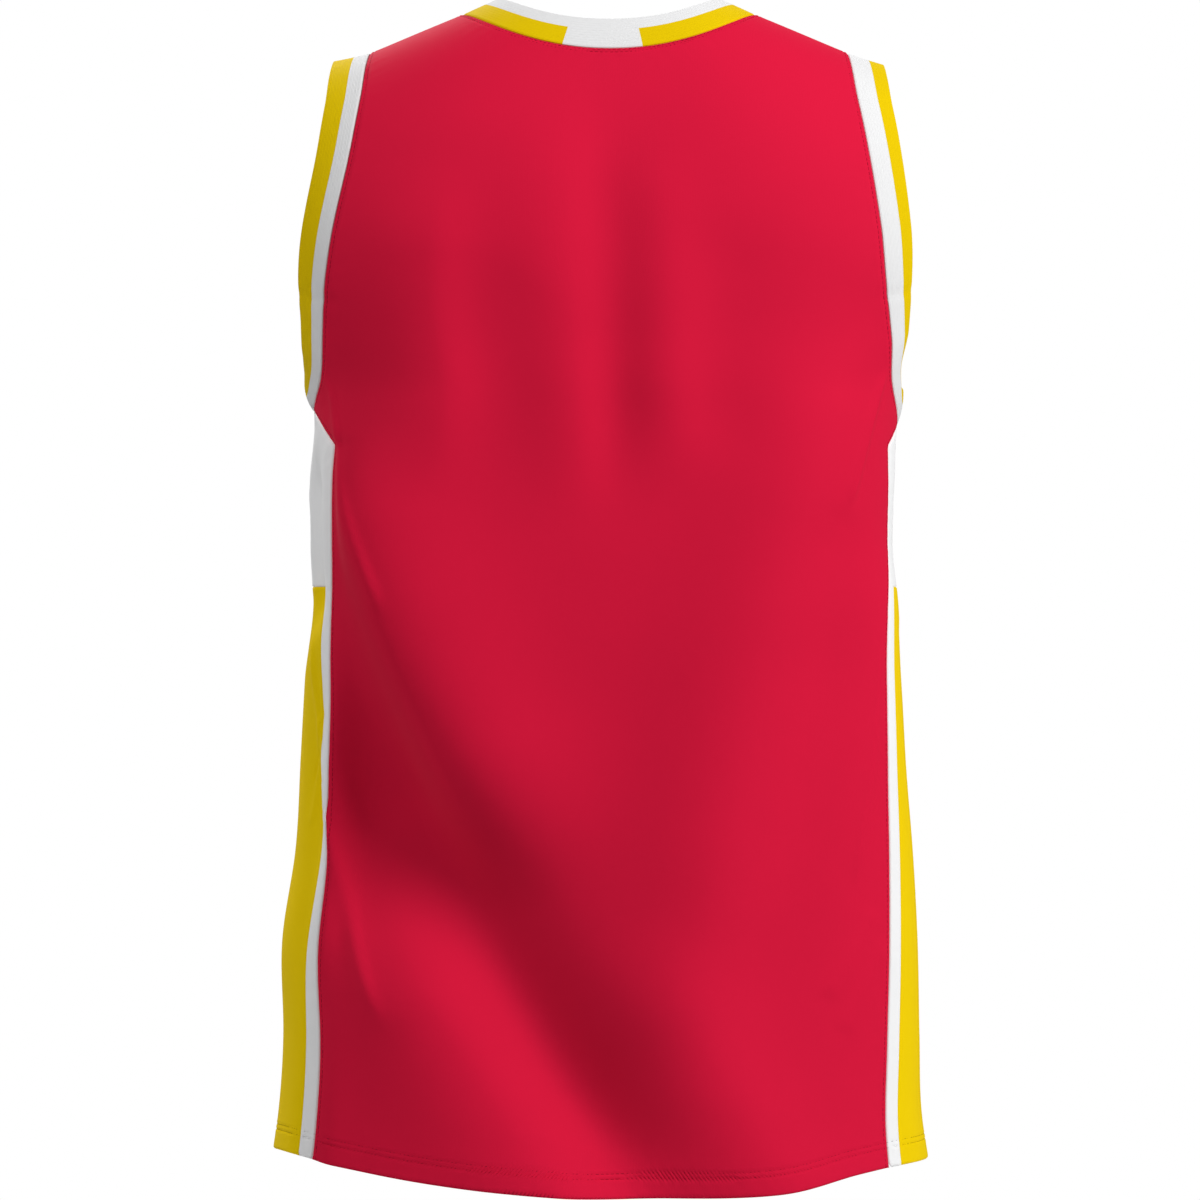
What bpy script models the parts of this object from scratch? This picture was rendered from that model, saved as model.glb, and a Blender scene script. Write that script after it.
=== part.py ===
"""A sleeveless basketball jersey as it hangs on a wearer's shoulders: hollow, and open at the neck,
the armholes and the hem.

Metres, +Z up. The front faces -Y and the wearer's left is +X. The origin is where the wearer holds the
jersey up: midway between the shoulders, at the height of the sides of the neck.

Every piece is a wall of cloth laid on one common form. A spot on that form is a girth and a drop. The
girth is an angle: 0 at the wearer's left side, 90 at the centre back, 180 at the right side and -90
at the centre front. The drop is the way down over the cloth from the ridge of the shoulders.
Pieces that meet at a seam share its spots, and each is then drawn back by half of the seam gap.
"""

import math

import bmesh
import bpy
import numpy as np
from mathutils import Vector
from mathutils.geometry import delaunay_2d_cdt

BACK, FRONT = 1, -1
LEFT, RIGHT = 0, 1
SIDES = {BACK: "back", FRONT: "front"}
HANDS = {LEFT: "left", RIGHT: "right"}

# Cloth and seams
CLOTH_WALL = 0.0014
HEM_WALL = 0.0022
RIB_WALL = 0.0018
SEAM_GAP = 0.0003
BAND_WIDTH = 0.025
ARM_WHITE_SHARES = (0.43, 0.57)
NECK_YELLOW_SHARE = 0.60
STRIPE_WIDTH = 0.0125

# The form: each section is a rounded oblong, a superellipse whose exponent is its roundness
SECTIONS = (
    # height, half-width left, half-width right, depth behind, depth in front, roundness
    (0.000, 0.2340, 0.2440, 0.112, 0.112, 2.4),
    (-0.050, 0.2350, 0.2450, 0.113, 0.115, 2.4),
    (-0.100, 0.2380, 0.2480, 0.116, 0.120, 2.4),
    (-0.150, 0.2375, 0.2460, 0.118, 0.126, 2.4),
    (-0.190, 0.2320, 0.2390, 0.120, 0.129, 2.4),
    (-0.230, 0.2110, 0.2180, 0.121, 0.130, 2.6),
    (-0.258, 0.1915, 0.1995, 0.122, 0.130, 2.9),
    (-0.280, 0.1862, 0.1941, 0.122, 0.130, 3.1),
    (-0.320, 0.1894, 0.1922, 0.122, 0.129, 3.1),
    (-0.362, 0.1899, 0.1904, 0.122, 0.128, 3.1),
    (-0.400, 0.1882, 0.1941, 0.122, 0.127, 3.1),
    (-0.445, 0.1926, 0.1964, 0.122, 0.127, 3.0),
    (-0.500, 0.1966, 0.2000, 0.123, 0.128, 3.0),
    (-0.560, 0.2000, 0.2052, 0.125, 0.130, 2.9),
    (-0.620, 0.2083, 0.2085, 0.128, 0.133, 2.8),
    (-0.680, 0.2077, 0.2097, 0.131, 0.136, 2.7),
    (-0.730, 0.2108, 0.2102, 0.134, 0.139, 2.7),
    (-0.775, 0.2168, 0.2169, 0.137, 0.142, 2.7),
)

# The shoulders: a sloping ridge, rounded at the neck, from which the depth grows over the cap
RIDGE_TOP = 0.0320
RIDGE_SLOPE = 0.44
RIDGE_ROUNDING = 0.040
SHOULDER_HALF_WIDTHS = (0.2345, 0.2445)
SHOULDER_ROUNDNESS = 2.4
CAP_HEIGHT = 0.150
NECK_CAP_EXTRA = 0.090
NECK_CAP_REACH = 0.070

# The neckline, where the neck's band is sewn on, and the white block in that band
NECK_MIDDLE_X = -0.0059
NECK_HALF_WIDTH = 0.0959
BACK_NECK_HEIGHT = -0.0446
BACK_NECK_POWER = 2.1
FRONT_NECK_HEIGHT = -0.1350
BLOCK_LEFT_X = 0.0243
BLOCK_RIGHT_X = -0.0272

# The armhole seam, from the shoulder down to the tip of the side panel
ARMHOLE = (
    # share of the way, height, then degrees from the side: left and right behind, left and right in front
    (0.000, -0.0393, 52.7, 51.2, 52.7, 51.2),
    (0.070, -0.0430, 52.5, 51.1, 53.0, 51.6),
    (0.140, -0.0540, 52.2, 50.9, 53.0, 51.8),
    (0.225, -0.0760, 51.9, 50.5, 53.0, 51.8),
    (0.375, -0.1170, 50.4, 48.8, 52.5, 51.0),
    (0.505, -0.1560, 47.8, 46.5, 50.8, 49.8),
    (0.630, -0.1940, 44.4, 43.3, 47.8, 47.3),
    (0.763, -0.2320, 38.6, 36.4, 41.5, 42.0),
    (0.838, -0.2500, 33.5, 31.0, 36.0, 38.0),
    (0.900, -0.2625, 27.0, 24.0, 28.5, 31.5),
    (0.955, -0.2715, 18.0, 15.5, 19.0, 24.5),
    (1.000, -0.2750, 10.0, 8.0, 10.0, 18.0),
)
RIGHT_ARMHOLE_DROP = 0.009

# The side seams below the armholes
SIDE_SEAMS = (
    # height, then degrees from the side: left behind, left in front, right behind, right in front
    (-0.299, 36.4, 35.0, 27.6, 43.0),
    (-0.365, 36.0, 35.5, 24.1, 46.0),
    (-0.404, 34.7, 37.0, 28.9, 43.0),
    (-0.461, 36.1, 36.5, 31.2, 41.0),
    (-0.530, 37.0, 37.0, 34.0, 39.5),
    (-0.600, 37.7, 37.7, 35.5, 38.5),
    (-0.700, 38.2, 38.3, 36.6, 38.2),
    (-0.770, 38.4, 38.5, 38.1, 38.4),
)
INSERT_TOP_HEIGHT = -0.389

# The hem
HEM = (
    # degrees round from the wearer's left side, height
    (-180, -0.7620),
    (-149, -0.7575),
    (-120, -0.7625),
    (-90, -0.7645),
    (-60, -0.7590),
    (-31, -0.7510),
    (0, -0.7550),
    (31, -0.7505),
    (44, -0.7550),
    (62, -0.7632),
    (75, -0.7675),
    (95, -0.7710),
    (118, -0.7690),
    (134, -0.7600),
    (149, -0.7575),
    (180, -0.7620),
)
HEM_TURN = 0.020

# How far the bands lean out of the cloth they continue, in degrees, at their seam and at their far edge
ARM_LEAN = (
    # share of the way from the shoulder to the side panel, left at the seam and at the edge, right the same
    (0.00, 10.0, 15.0, 5.0, 9.0),
    (0.25, 5.0, -1.0, 6.0, -5.0),
    (0.55, 1.0, -12.0, 5.0, -23.0),
    (0.72, -5.0, -26.0, 2.0, -36.0),
    (0.86, -4.0, -24.0, -1.0, -34.0),
    (0.94, 24.0, -8.0, 12.0, -12.0),
    (1.00, 52.0, 0.0, 25.0, 0.0),
)
NECK_LEAN_SIDE = (3.0, 2.0)
NECK_LEAN_BACK = (2.0, -8.0)
NECK_LEAN_FRONT = (-1.0, -6.0)
LEAST_CURL = 0.001
FRAME_SMOOTHING = 2

# The largest folds: ridges have a positive depth and troughs a negative one
GIRTH_RADIUS = 0.165
FOLD_FADE = 0.25
FOLDS = (
    # start girth, start height, end girth, end height, half-width, depth
    (39, -0.320, 88, -0.700, 0.030, -0.0085),
    (36, -0.440, 68, -0.740, 0.020, 0.0050),
    (45, -0.640, 64, -0.760, 0.016, -0.0050),
    (75, -0.100, 74, -0.300, 0.020, -0.0040),
    (95, -0.080, 97, -0.360, 0.024, -0.0050),
    (116, -0.110, 116, -0.380, 0.022, -0.0035),
    (138, -0.370, 126, -0.560, 0.024, -0.0040),
    (132, -0.400, 114, -0.520, 0.018, 0.0030),
    (112, -0.560, 146, -0.740, 0.030, 0.0035),
    (2, -0.330, 8, -0.440, 0.020, -0.0030),
    (-38, -0.330, -84, -0.690, 0.028, -0.0075),
    (-36, -0.450, -60, -0.740, 0.020, 0.0045),
    (-142, -0.350, -104, -0.640, 0.026, -0.0065),
    (-90, -0.160, -92, -0.330, 0.026, -0.0035),
    (-118, -0.600, -136, -0.760, 0.026, 0.0045),
    (174, -0.480, 177, -0.700, 0.024, -0.0030),
)

# How finely the cloth is divided
GRAIN = 0.024
EDGE_CLEARANCE = 0.55
ARM_STEPS = 16
TIP_STEPS = 3
GUSSET_STEPS = 2
WHITE_SIDE_STEPS = 4
INSERT_STEPS = 15
SHOULDER_STEPS = 3
NECK_STEPS = 5
BLOCK_STEPS = 3
PANEL_HEM_STEPS = 18
INSERT_HEM_STEPS = 5
NECK_STRIPS = (0.0, NECK_YELLOW_SHARE, 1.0)
INSIDE_TOP_HEIGHT = -0.15

# Materials
RED = (0.62, 0.012, 0.047)
WHITE = (0.86, 0.86, 0.87)
YELLOW = (0.88, 0.62, 0.004)
CLOTH_ROUGHNESS = 0.8
SMOOTH_BELOW = math.radians(40)


# ---------------------------------------------------------------- the form


def read(table, key, column):
    """The smooth value of a table's column, where its first column is key."""
    keys = [row[0] for row in table]
    values = [row[column] for row in table]
    order = 1 if keys[-1] > keys[0] else -1
    last = len(keys) - 1
    if (key - keys[0]) * order <= 0:
        return values[0]
    if (key - keys[last]) * order >= 0:
        return values[last]
    place = next(i for i in range(last) if (key - keys[i + 1]) * order < 0)
    step = keys[place + 1] - keys[place]
    share = (key - keys[place]) / step

    def slope(i):
        low, high = max(i - 1, 0), min(i + 1, last)
        return (values[high] - values[low]) / (keys[high] - keys[low]) * step

    square, cube = share**2, share**3
    return (
        (2 * cube - 3 * square + 1) * values[place]
        + (cube - 2 * square + share) * slope(place)
        + (3 * square - 2 * cube) * values[place + 1]
        + (cube - square) * slope(place + 1)
    )


def mix(start, end, share):
    return start + (end - start) * share


def steps(start, end, count):
    """Evenly spaced values from start to end, both of them included."""
    return [mix(start, end, i / count) for i in range(count + 1)]


def unit_section(girth, roundness):
    """A superellipse of half-width and depth 1, at an angle."""
    across, deep = math.cos(girth), math.sin(girth)
    size = (abs(across) ** roundness + abs(deep) ** roundness) ** (1 / roundness)
    return across / size, deep / size


def shoulder_ridge(x):
    return RIDGE_TOP - RIDGE_SLOPE * math.hypot(x - NECK_MIDDLE_X, RIDGE_ROUNDING)


def shoulder_over(girth):
    """The ridge's height above a girth, and how far below it the form reaches its full depth."""
    across = unit_section(girth, SHOULDER_ROUNDNESS)[0]
    x = across * SHOULDER_HALF_WIDTHS[LEFT if across > 0 else RIGHT]
    near_neck = math.exp(-(((x - NECK_MIDDLE_X) / NECK_CAP_REACH) ** 2))
    return shoulder_ridge(x), CAP_HEIGHT + NECK_CAP_EXTRA * near_neck


def fold_relief(girth, height):
    """How far the folds lift the cloth at a girth in radians and a height."""
    relief = 0.0
    for start_girth, start_height, end_girth, end_height, width, depth in FOLDS:
        turn = (girth - math.radians(start_girth) + math.pi) % (2 * math.pi) - math.pi
        along = Vector((math.radians(end_girth - start_girth) * GIRTH_RADIUS, end_height - start_height))
        place = Vector((turn * GIRTH_RADIUS, height - start_height))
        share = min(max(place.dot(along) / along.length_squared, 0.0), 1.0)
        away = (place - along * share).length / width
        fade = min(share, 1 - share) / FOLD_FADE
        relief += depth * math.exp(-(away**2)) * math.sin(min(fade, 1.0) * math.pi / 2)
    return relief


def cloth_point(girth, drop):
    """The point of the cloth's outer face at a spot."""
    ridge, reach = shoulder_over(girth)
    turn = min(drop / reach, math.pi / 2)
    height = ridge - reach * (1 - math.cos(turn)) - max(drop - reach * math.pi / 2, 0.0)
    across, deep = unit_section(girth, read(SECTIONS, height, 5))
    width = read(SECTIONS, height, 1 if across > 0 else 2)
    depth = read(SECTIONS, height, 3 if deep > 0 else 4)
    cap = math.sin(turn)
    outward = Vector((across / width, deep / depth, 0)).normalized()
    surface = Vector((width * across, depth * deep * cap, height))
    return surface + outward * fold_relief(girth, height) * cap


def spot(girth, height):
    """The spot at a girth and a height."""
    ridge, reach = shoulder_over(girth)
    below = max(ridge - height, 0.0)
    if below >= reach:
        return girth, reach * math.pi / 2 + below - reach
    return girth, reach * math.acos(1 - below / reach)


def girth_at(side, x, height):
    """The girth of the form where it is x from the middle at a height."""
    width = read(SECTIONS, height, 1 if x > 0 else 2)
    roundness = read(SECTIONS, height, 5)
    share = abs(x) / width
    angle = math.atan2((1 - share**roundness) ** (1 / roundness), share)
    return side * (angle if x > 0 else math.pi - angle)


def girth_from_side(side, hand, angle):
    """The girth at an angle from the wearer's left or right side, towards the back or the front."""
    return side * angle if hand == LEFT else math.pi - side * angle


# ---------------------------------------------------------------- seams and edges, as lists of spots


def armhole_seam(side, hand):
    """From the shoulder down to the tip of the side panel."""
    column = 2 + hand + (0 if side == BACK else 2)
    line = []
    for share in steps(0.0, 1.0, ARM_STEPS):
        girth = girth_from_side(side, hand, math.radians(read(ARMHOLE, share, column)))
        height = read(ARMHOLE, share, 1) - hand * RIGHT_ARMHOLE_DROP * share**2
        line.append(spot(girth, height) if share else (girth, 0.0))
    return line


def seam_heights(side, hand):
    """The heights of a side seam's spots, from the side panel's tip to the hem."""
    tip = ARMHOLE[-1][1] - hand * RIGHT_ARMHOLE_DROP
    angle = math.radians(SIDE_SEAMS[-1][1 + 2 * hand])
    hem = hem_height(girth_from_side(side, hand, angle))
    stops = (tip, SIDE_SEAMS[0][0], INSERT_TOP_HEIGHT, hem + HEM_TURN, hem)
    counts = (GUSSET_STEPS, WHITE_SIDE_STEPS, INSERT_STEPS, 1)
    heights = [tip]
    for top, bottom, count in zip(stops, stops[1:], counts):
        heights += steps(top, bottom, count)[1:]
    return heights


def side_seam(side, hand, inset=0.0):
    """From the side panel's tip down to the hem, or the same line set inwards over the side panel."""
    column = 1 + 2 * hand + (0 if side == BACK else 1)
    tip = read(ARMHOLE, 1.0, 2 + hand + (0 if side == BACK else 2))
    line = []
    for i, height in enumerate(seam_heights(side, hand)):
        angle = mix(tip, read(SIDE_SEAMS, height, column), min(i / GUSSET_STEPS, 1.0))
        girth = girth_from_side(side, hand, math.radians(angle))
        if inset:
            inwards = -side if hand == LEFT else side
            girth += inwards * inset / stretch(girth, height)
        line.append(spot(girth, height))
    return line


def stretch(girth, height):
    """The metres of cloth in a radian of girth."""
    apart = 0.02
    start, end = (cloth_point(*spot(girth + turn, height)) for turn in (-apart, apart))
    return (end - start).length / (2 * apart)


def hem_height(girth):
    half_turn = math.pi
    return read(HEM, math.degrees((girth + half_turn) % (2 * half_turn) - half_turn), 1)


def hem_line(start, end, count):
    """The hem between two spots on it, without them."""
    return [spot(girth, hem_height(girth)) for girth in steps(start[0], end[0], count)[1:-1]]


def level_line(start, end, count):
    """A level line between two spots, without them."""
    height = cloth_height(start)
    return [spot(girth, height) for girth in steps(start[0], end[0], count)[1:-1]]


def cloth_height(place):
    return cloth_point(*place).z


def neck_x(turn):
    return NECK_MIDDLE_X + NECK_HALF_WIDTH * math.sin(turn)


def neck_turns(side):
    """Where the neckline's spots are, as turns from the left side of the neck to the right."""
    quarter = math.pi / 2
    if side == FRONT:
        return steps(quarter, -quarter, 2 * NECK_STEPS + BLOCK_STEPS)
    left, right = (
        math.asin((x - NECK_MIDDLE_X) / NECK_HALF_WIDTH) for x in (BLOCK_LEFT_X, BLOCK_RIGHT_X)
    )
    turns = steps(quarter, left, NECK_STEPS)
    turns += steps(left, right, BLOCK_STEPS)[1:]
    return turns + steps(right, -quarter, NECK_STEPS)[1:]


def neckline(side):
    """From the left side of the neck to the right."""
    line = []
    turns = neck_turns(side)
    for turn in turns:
        x = neck_x(turn)
        corner = shoulder_ridge(neck_x(math.copysign(math.pi / 2, turn)))
        if side == BACK:
            height = mix(BACK_NECK_HEIGHT, corner, abs(math.sin(turn)) ** BACK_NECK_POWER)
        else:
            height = mix(corner, FRONT_NECK_HEIGHT, math.cos(turn))
        girth = girth_at(side, x, height)
        line.append((girth, 0.0) if turn in (turns[0], turns[-1]) else spot(girth, height))
    return line


def shoulder_seam(start, end):
    """The ridge between two spots on it, without them."""
    return [(girth, 0.0) for girth in steps(start[0], end[0], SHOULDER_STEPS)[1:-1]]


def panel_outline(side):
    """The back or the front, from the left shoulder over the neck and round to the left armhole."""
    left_arm, right_arm = (armhole_seam(side, hand) for hand in (LEFT, RIGHT))
    left_seam, right_seam = (side_seam(side, hand) for hand in (LEFT, RIGHT))
    if side == FRONT:
        right_arm, right_seam = ([(g - 2 * math.pi, d) for g, d in line] for line in (right_arm, right_seam))
    neck = neckline(side)
    return (
        shoulder_seam(left_arm[0], neck[0])
        + neck
        + shoulder_seam(neck[-1], right_arm[0])
        + right_arm
        + right_seam[1:]
        + hem_line(right_seam[-1], left_seam[-1], PANEL_HEM_STEPS)
        + left_seam[:0:-1]
        + left_arm[::-1]
    )


def side_tip(hand):
    """The top edge of a side panel, from back to front, without its ends."""
    behind, ahead = (armhole_seam(side, hand)[-1] for side in (BACK, FRONT))
    return level_line(behind, ahead, TIP_STEPS)


def side_outlines(hand):
    """A side panel, cut out for its insert, and the insert."""
    behind, ahead = (side_seam(side, hand) for side in (BACK, FRONT))
    top = GUSSET_STEPS + WHITE_SIDE_STEPS
    stripe_behind, stripe_ahead = (side_seam(side, hand, STRIPE_WIDTH)[top:] for side in (BACK, FRONT))
    insert_top = level_line(stripe_behind[0], stripe_ahead[0], INSERT_HEM_STEPS)
    insert_hem = hem_line(stripe_behind[-1], stripe_ahead[-1], INSERT_HEM_STEPS)
    panel = side_tip(hand) + ahead + stripe_ahead[::-1] + insert_top[::-1] + stripe_behind + behind[::-1]
    insert = stripe_behind[:1] + insert_top + stripe_ahead + insert_hem[::-1] + stripe_behind[:0:-1]
    return panel, insert


# ---------------------------------------------------------------- cloth from outlines and seams


def clearance(places, outline):
    """How far each place lies from an outline, below zero where it is outside."""
    ends = np.roll(outline, -1, axis=0)
    nearest = np.full(len(places), np.inf)
    inside = np.zeros(len(places), bool)
    for start, end in zip(outline, ends):
        along = end - start
        share = np.clip((places - start) @ along / (along @ along), 0, 1)
        nearest = np.minimum(nearest, np.linalg.norm(places - start - share[:, None] * along, axis=1))
        crosses = (start[1] > places[:, 1]) != (end[1] > places[:, 1])
        rise = along[1] if along[1] else 1.0
        inside ^= crosses & (places[:, 0] < start[0] + (places[:, 1] - start[1]) * along[0] / rise)
    return np.where(inside, nearest, -nearest)


def filled(outline):
    """An outline of spots as a piece: its points by number, and its triangles."""
    edge = np.array([(girth * GIRTH_RADIUS, drop) for girth, drop in outline])
    low, high = edge.min(0), edge.max(0)
    rows = np.arange(low[1], high[1], GRAIN * math.sqrt(3) / 2)
    inner = [
        (x, y)
        for row, y in enumerate(rows)
        for x in np.arange(low[0] + GRAIN / 2 * (row % 2), high[0], GRAIN)
    ]
    inner = np.array(inner)
    inner = inner[clearance(inner, edge) > GRAIN * EDGE_CLEARANCE]
    flat = [Vector(place) for place in np.vstack([edge, inner])]
    places, _, faces, _, _, _ = delaunay_2d_cdt(flat, [], [list(range(len(edge)))], 1, 1e-7)
    points = {i: cloth_point(place.x / GIRTH_RADIUS, place.y) for i, place in enumerate(places)}
    for i, (girth, drop) in enumerate(outline):
        points[i] = cloth_point(girth, drop)
    return points, facing_out(points, [tuple(face) for face in faces])


def ring_cells(stations, strips, keep):
    """The four-cornered cells of a ring's strips, as far as they are kept."""
    cells = []
    for strip in strips:
        for station in range(stations):
            beside = (station + 1) % stations
            cell = ((strip, station), (strip + 1, station), (strip + 1, beside), (strip, beside))
            if keep(strip, station):
                cells.append(cell)
    return cells


def place_of(point):
    """A key that the same point has in every piece."""
    return tuple(round(value * 1e6) for value in point)


def middle_of(points, cell):
    return sum((points[corner] for corner in cell), Vector()) / len(cell)


def cell_normal(points, cell):
    """A cell's normal, as long as twice its area."""
    if len(cell) == 3:
        a, b, c = (points[corner] for corner in cell)
        return (b - a).cross(c - a)
    a, b, c, d = (points[corner] for corner in cell)
    return (c - a).cross(d - b)


def facing_out(points, cells):
    """The cells, turned over together if they face the inside of the jersey."""
    facing = 0.0
    for cell in cells:
        middle = middle_of(points, cell)
        inside = Vector((0, 0, min(middle.z, INSIDE_TOP_HEIGHT)))
        facing += cell_normal(points, cell).dot(middle - inside)
    return cells if facing > 0 else [cell[::-1] for cell in cells]


def shared_normals(pieces):
    """The cloth's normal at each place, over all the cells that meet there."""
    normals = {}
    for points, cells in pieces:
        for cell in cells:
            normal = cell_normal(points, cell)
            for corner in cell:
                place = place_of(points[corner])
                normals[place] = normals.get(place, Vector()) + normal
    return {place: normal.normalized() for place, normal in normals.items()}


def band_points(seam, normals, leans, turn, shares):
    """A band's points by (strip, station): each station of its seam, carried across the band's width.

    The band's slope goes evenly from its lean at the seam to its lean at the edge. turn says on which
    side of the seam, as it runs, the band lies.
    """
    points = {}
    count = len(seam)
    upright = [normals[place_of(point)] for point in seam]
    for _ in range(FRAME_SMOOTHING):
        upright = [
            (upright[i - 1] + 2 * upright[i] + upright[(i + 1) % count]).normalized() for i in range(count)
        ]
    for station, start in enumerate(seam):
        tangent = (seam[(station + 1) % count] - seam[station - 1]).normalized()
        across = (tangent.cross(upright[station]) * turn).normalized()
        normal = across.cross(tangent) * turn
        first, last = (math.radians(lean) for lean in leans[station])
        curl = last - first if abs(last - first) > LEAST_CURL else LEAST_CURL
        points[0, station] = start
        for strip, share in enumerate(shares[1:], 1):
            slope = first + curl * share
            ahead = (math.sin(slope) - math.sin(first)) / curl
            lift = (math.cos(first) - math.cos(slope)) / curl
            points[strip, station] = start + BAND_WIDTH * (across * ahead + normal * lift)
    return points


def armhole_band(hand, normals):
    """An armhole's band, from the shoulder down behind, under the arm and up in front."""
    down, up = (armhole_seam(side, hand) for side in (BACK, FRONT))
    under = side_tip(hand)
    shares = steps(0.0, 1.0, ARM_STEPS)
    shares = shares + [1.0] * len(under) + shares[:0:-1]
    column = 1 + 2 * hand
    leans = [(read(ARM_LEAN, share, column), read(ARM_LEAN, share, column + 1)) for share in shares]
    seam = [cloth_point(*place) for place in down + under + up[:0:-1]]
    shares = (0.0, ARM_WHITE_SHARES[hand], 1.0)
    return band_points(seam, normals, leans, 1 if hand == LEFT else -1, shares), len(seam)


def neck_band(normals):
    """The neck's band, from the left shoulder behind the neck and back round in front."""
    seam = [cloth_point(*place) for place in neckline(BACK) + neckline(FRONT)[-2:0:-1]]
    turns = [(turn, NECK_LEAN_BACK) for turn in neck_turns(BACK)]
    turns += [(turn, NECK_LEAN_FRONT) for turn in neck_turns(FRONT)[-2:0:-1]]
    leans = [
        [mix(beside, middle, math.cos(turn) ** 2) for beside, middle in zip(NECK_LEAN_SIDE, middles)]
        for turn, middles in turns
    ]
    return band_points(seam, normals, leans, -1, NECK_STRIPS), len(seam)


# ---------------------------------------------------------------- solids


def free_edges(cells):
    """Each edge that only one cell has, with that cell."""
    sides = {}
    for cell in cells:
        for edge in zip(cell, cell[1:] + cell[:1]):
            sides.setdefault(frozenset(edge), []).append(cell)
    return {edge: owners[0] for edge, owners in sides.items() if len(owners) == 1}


def drawn_back(points, edges):
    """Each point's move, within the cloth, that leaves half of the seam gap along the free edges."""
    inward = {}
    for edge, cell in edges.items():
        start, end = (points[corner] for corner in edge)
        along = (end - start).normalized()
        away = middle_of(points, cell) - start
        away = (away - along * away.dot(along)).normalized()
        for corner in edge:
            inward.setdefault(corner, []).append(away)
    moves = {}
    for corner, (first, *others) in inward.items():
        second = others[-1] if others else first
        moves[corner] = (first + second) * (SEAM_GAP / 2 / max(1 + first.dot(second), 0.4))
    return moves


def make_cloth(name, points, cells, normals, colour, wall_at):
    """A closed wall of cloth: its outer face, its inner face and the rim between them."""
    edges = free_edges(cells)
    moves = drawn_back(points, edges)
    mesh = bmesh.new()
    outer, inner = {}, {}
    for corner in sorted({corner for cell in cells for corner in cell}):
        place = points[corner]
        point = place + moves.get(corner, Vector())
        outer[corner] = mesh.verts.new(point)
        inner[corner] = mesh.verts.new(point - normals[place_of(place)] * wall_at(corner, place))
    for cell in cells:
        for second, third in zip(cell[1:], cell[2:]):
            triangle = (cell[0], second, third)
            mesh.faces.new([outer[corner] for corner in triangle])
            mesh.faces.new([inner[corner] for corner in reversed(triangle)])
        for start, end in zip(cell, cell[1:] + cell[:1]):
            if frozenset((start, end)) in edges:
                mesh.faces.new((outer[end], outer[start], inner[start]))
                mesh.faces.new((outer[end], inner[start], inner[end]))
    data = bpy.data.meshes.new(name)
    mesh.to_mesh(data)
    mesh.free()
    data.shade_smooth()
    data.set_sharp_from_angle(angle=SMOOTH_BELOW)
    data.materials.append(fabric(name, colour))
    thing = bpy.data.objects.new(name, data)
    bpy.context.scene.collection.objects.link(thing)


def fabric(name, colour):
    material = bpy.data.materials.new(name)
    material.use_nodes = True
    shader = material.node_tree.nodes["Principled BSDF"]
    shader.inputs["Base Color"].default_value = (*colour, 1)
    shader.inputs["Roughness"].default_value = CLOTH_ROUGHNESS
    shader.inputs["Metallic"].default_value = 0.0
    return material


def panel_wall(corner, point):
    """The cloth is double where it is turned up along the hem."""
    hem = hem_height(math.atan2(point.y, point.x))
    return HEM_WALL if point.z < hem + 1.1 * HEM_TURN else CLOTH_WALL


def rib_wall(corner, point):
    """The knitted bands are as thick as the panels at their seams, and thicker beyond them."""
    return CLOTH_WALL if corner[0] == 0 else RIB_WALL


def in_neck_stripe(strip, station):
    """Whether a cell of the neck's band is yellow: the lower half, apart from the block."""
    return NECK_STRIPS[strip] < NECK_YELLOW_SHARE and not NECK_STEPS <= station < NECK_STEPS + BLOCK_STEPS


def main():
    for thing in list(bpy.data.objects):
        bpy.data.objects.remove(thing)

    pieces = {word + "_panel": (filled(panel_outline(side)), RED) for side, word in SIDES.items()}
    for hand, word in HANDS.items():
        panel, insert = side_outlines(hand)
        pieces["side_panel_" + word] = filled(panel), WHITE
        pieces["side_insert_" + word] = filled(insert), YELLOW
    panel_normals = shared_normals([piece for piece, _ in pieces.values()])
    walls = dict.fromkeys(pieces, panel_wall)

    for hand, word in HANDS.items():
        points, stations = armhole_band(hand, panel_normals)
        for name, strip, colour in (("armhole_band_", 0, WHITE), ("armhole_edge_", 1, YELLOW)):
            cells = ring_cells(stations, [strip], lambda strip, station: True)
            pieces[name + word] = (points, facing_out(points, cells)), colour
    points, stations = neck_band(panel_normals)
    strips = range(len(NECK_STRIPS) - 1)
    stripe = ring_cells(stations, strips, in_neck_stripe)
    white = ring_cells(stations, strips, lambda strip, station: not in_neck_stripe(strip, station))
    pieces["neck_stripe"] = (points, facing_out(points, stripe)), YELLOW
    pieces["neck_band"] = (points, facing_out(points, white)), WHITE

    normals = shared_normals([piece for piece, _ in pieces.values()])
    for name, ((points, cells), colour) in pieces.items():
        make_cloth(name, points, cells, normals, colour, walls.get(name, rib_wall))


main()
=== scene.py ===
"""A sleeveless basketball jersey as it hangs on a wearer's shoulders: its cloth, bands and stitching.

Metres, +Z up. The front faces -Y and the wearer's left is +X. Every piece of cloth lies on one form. A
spot on that form is a girth and a drop: the girth is an angle, 0 at the wearer's left side and 90 degrees
at the centre back, and the drop is the way down over the cloth from the ridge of the shoulders.
"""

import functools
import math

import bpy
import numpy as np
from bpy.props import FloatProperty, FloatVectorProperty, PointerProperty
from bpy.types import Operator, Panel, PropertyGroup
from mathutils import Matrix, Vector
from mathutils.geometry import delaunay_2d_cdt
from mathutils.kdtree import KDTree


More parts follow.
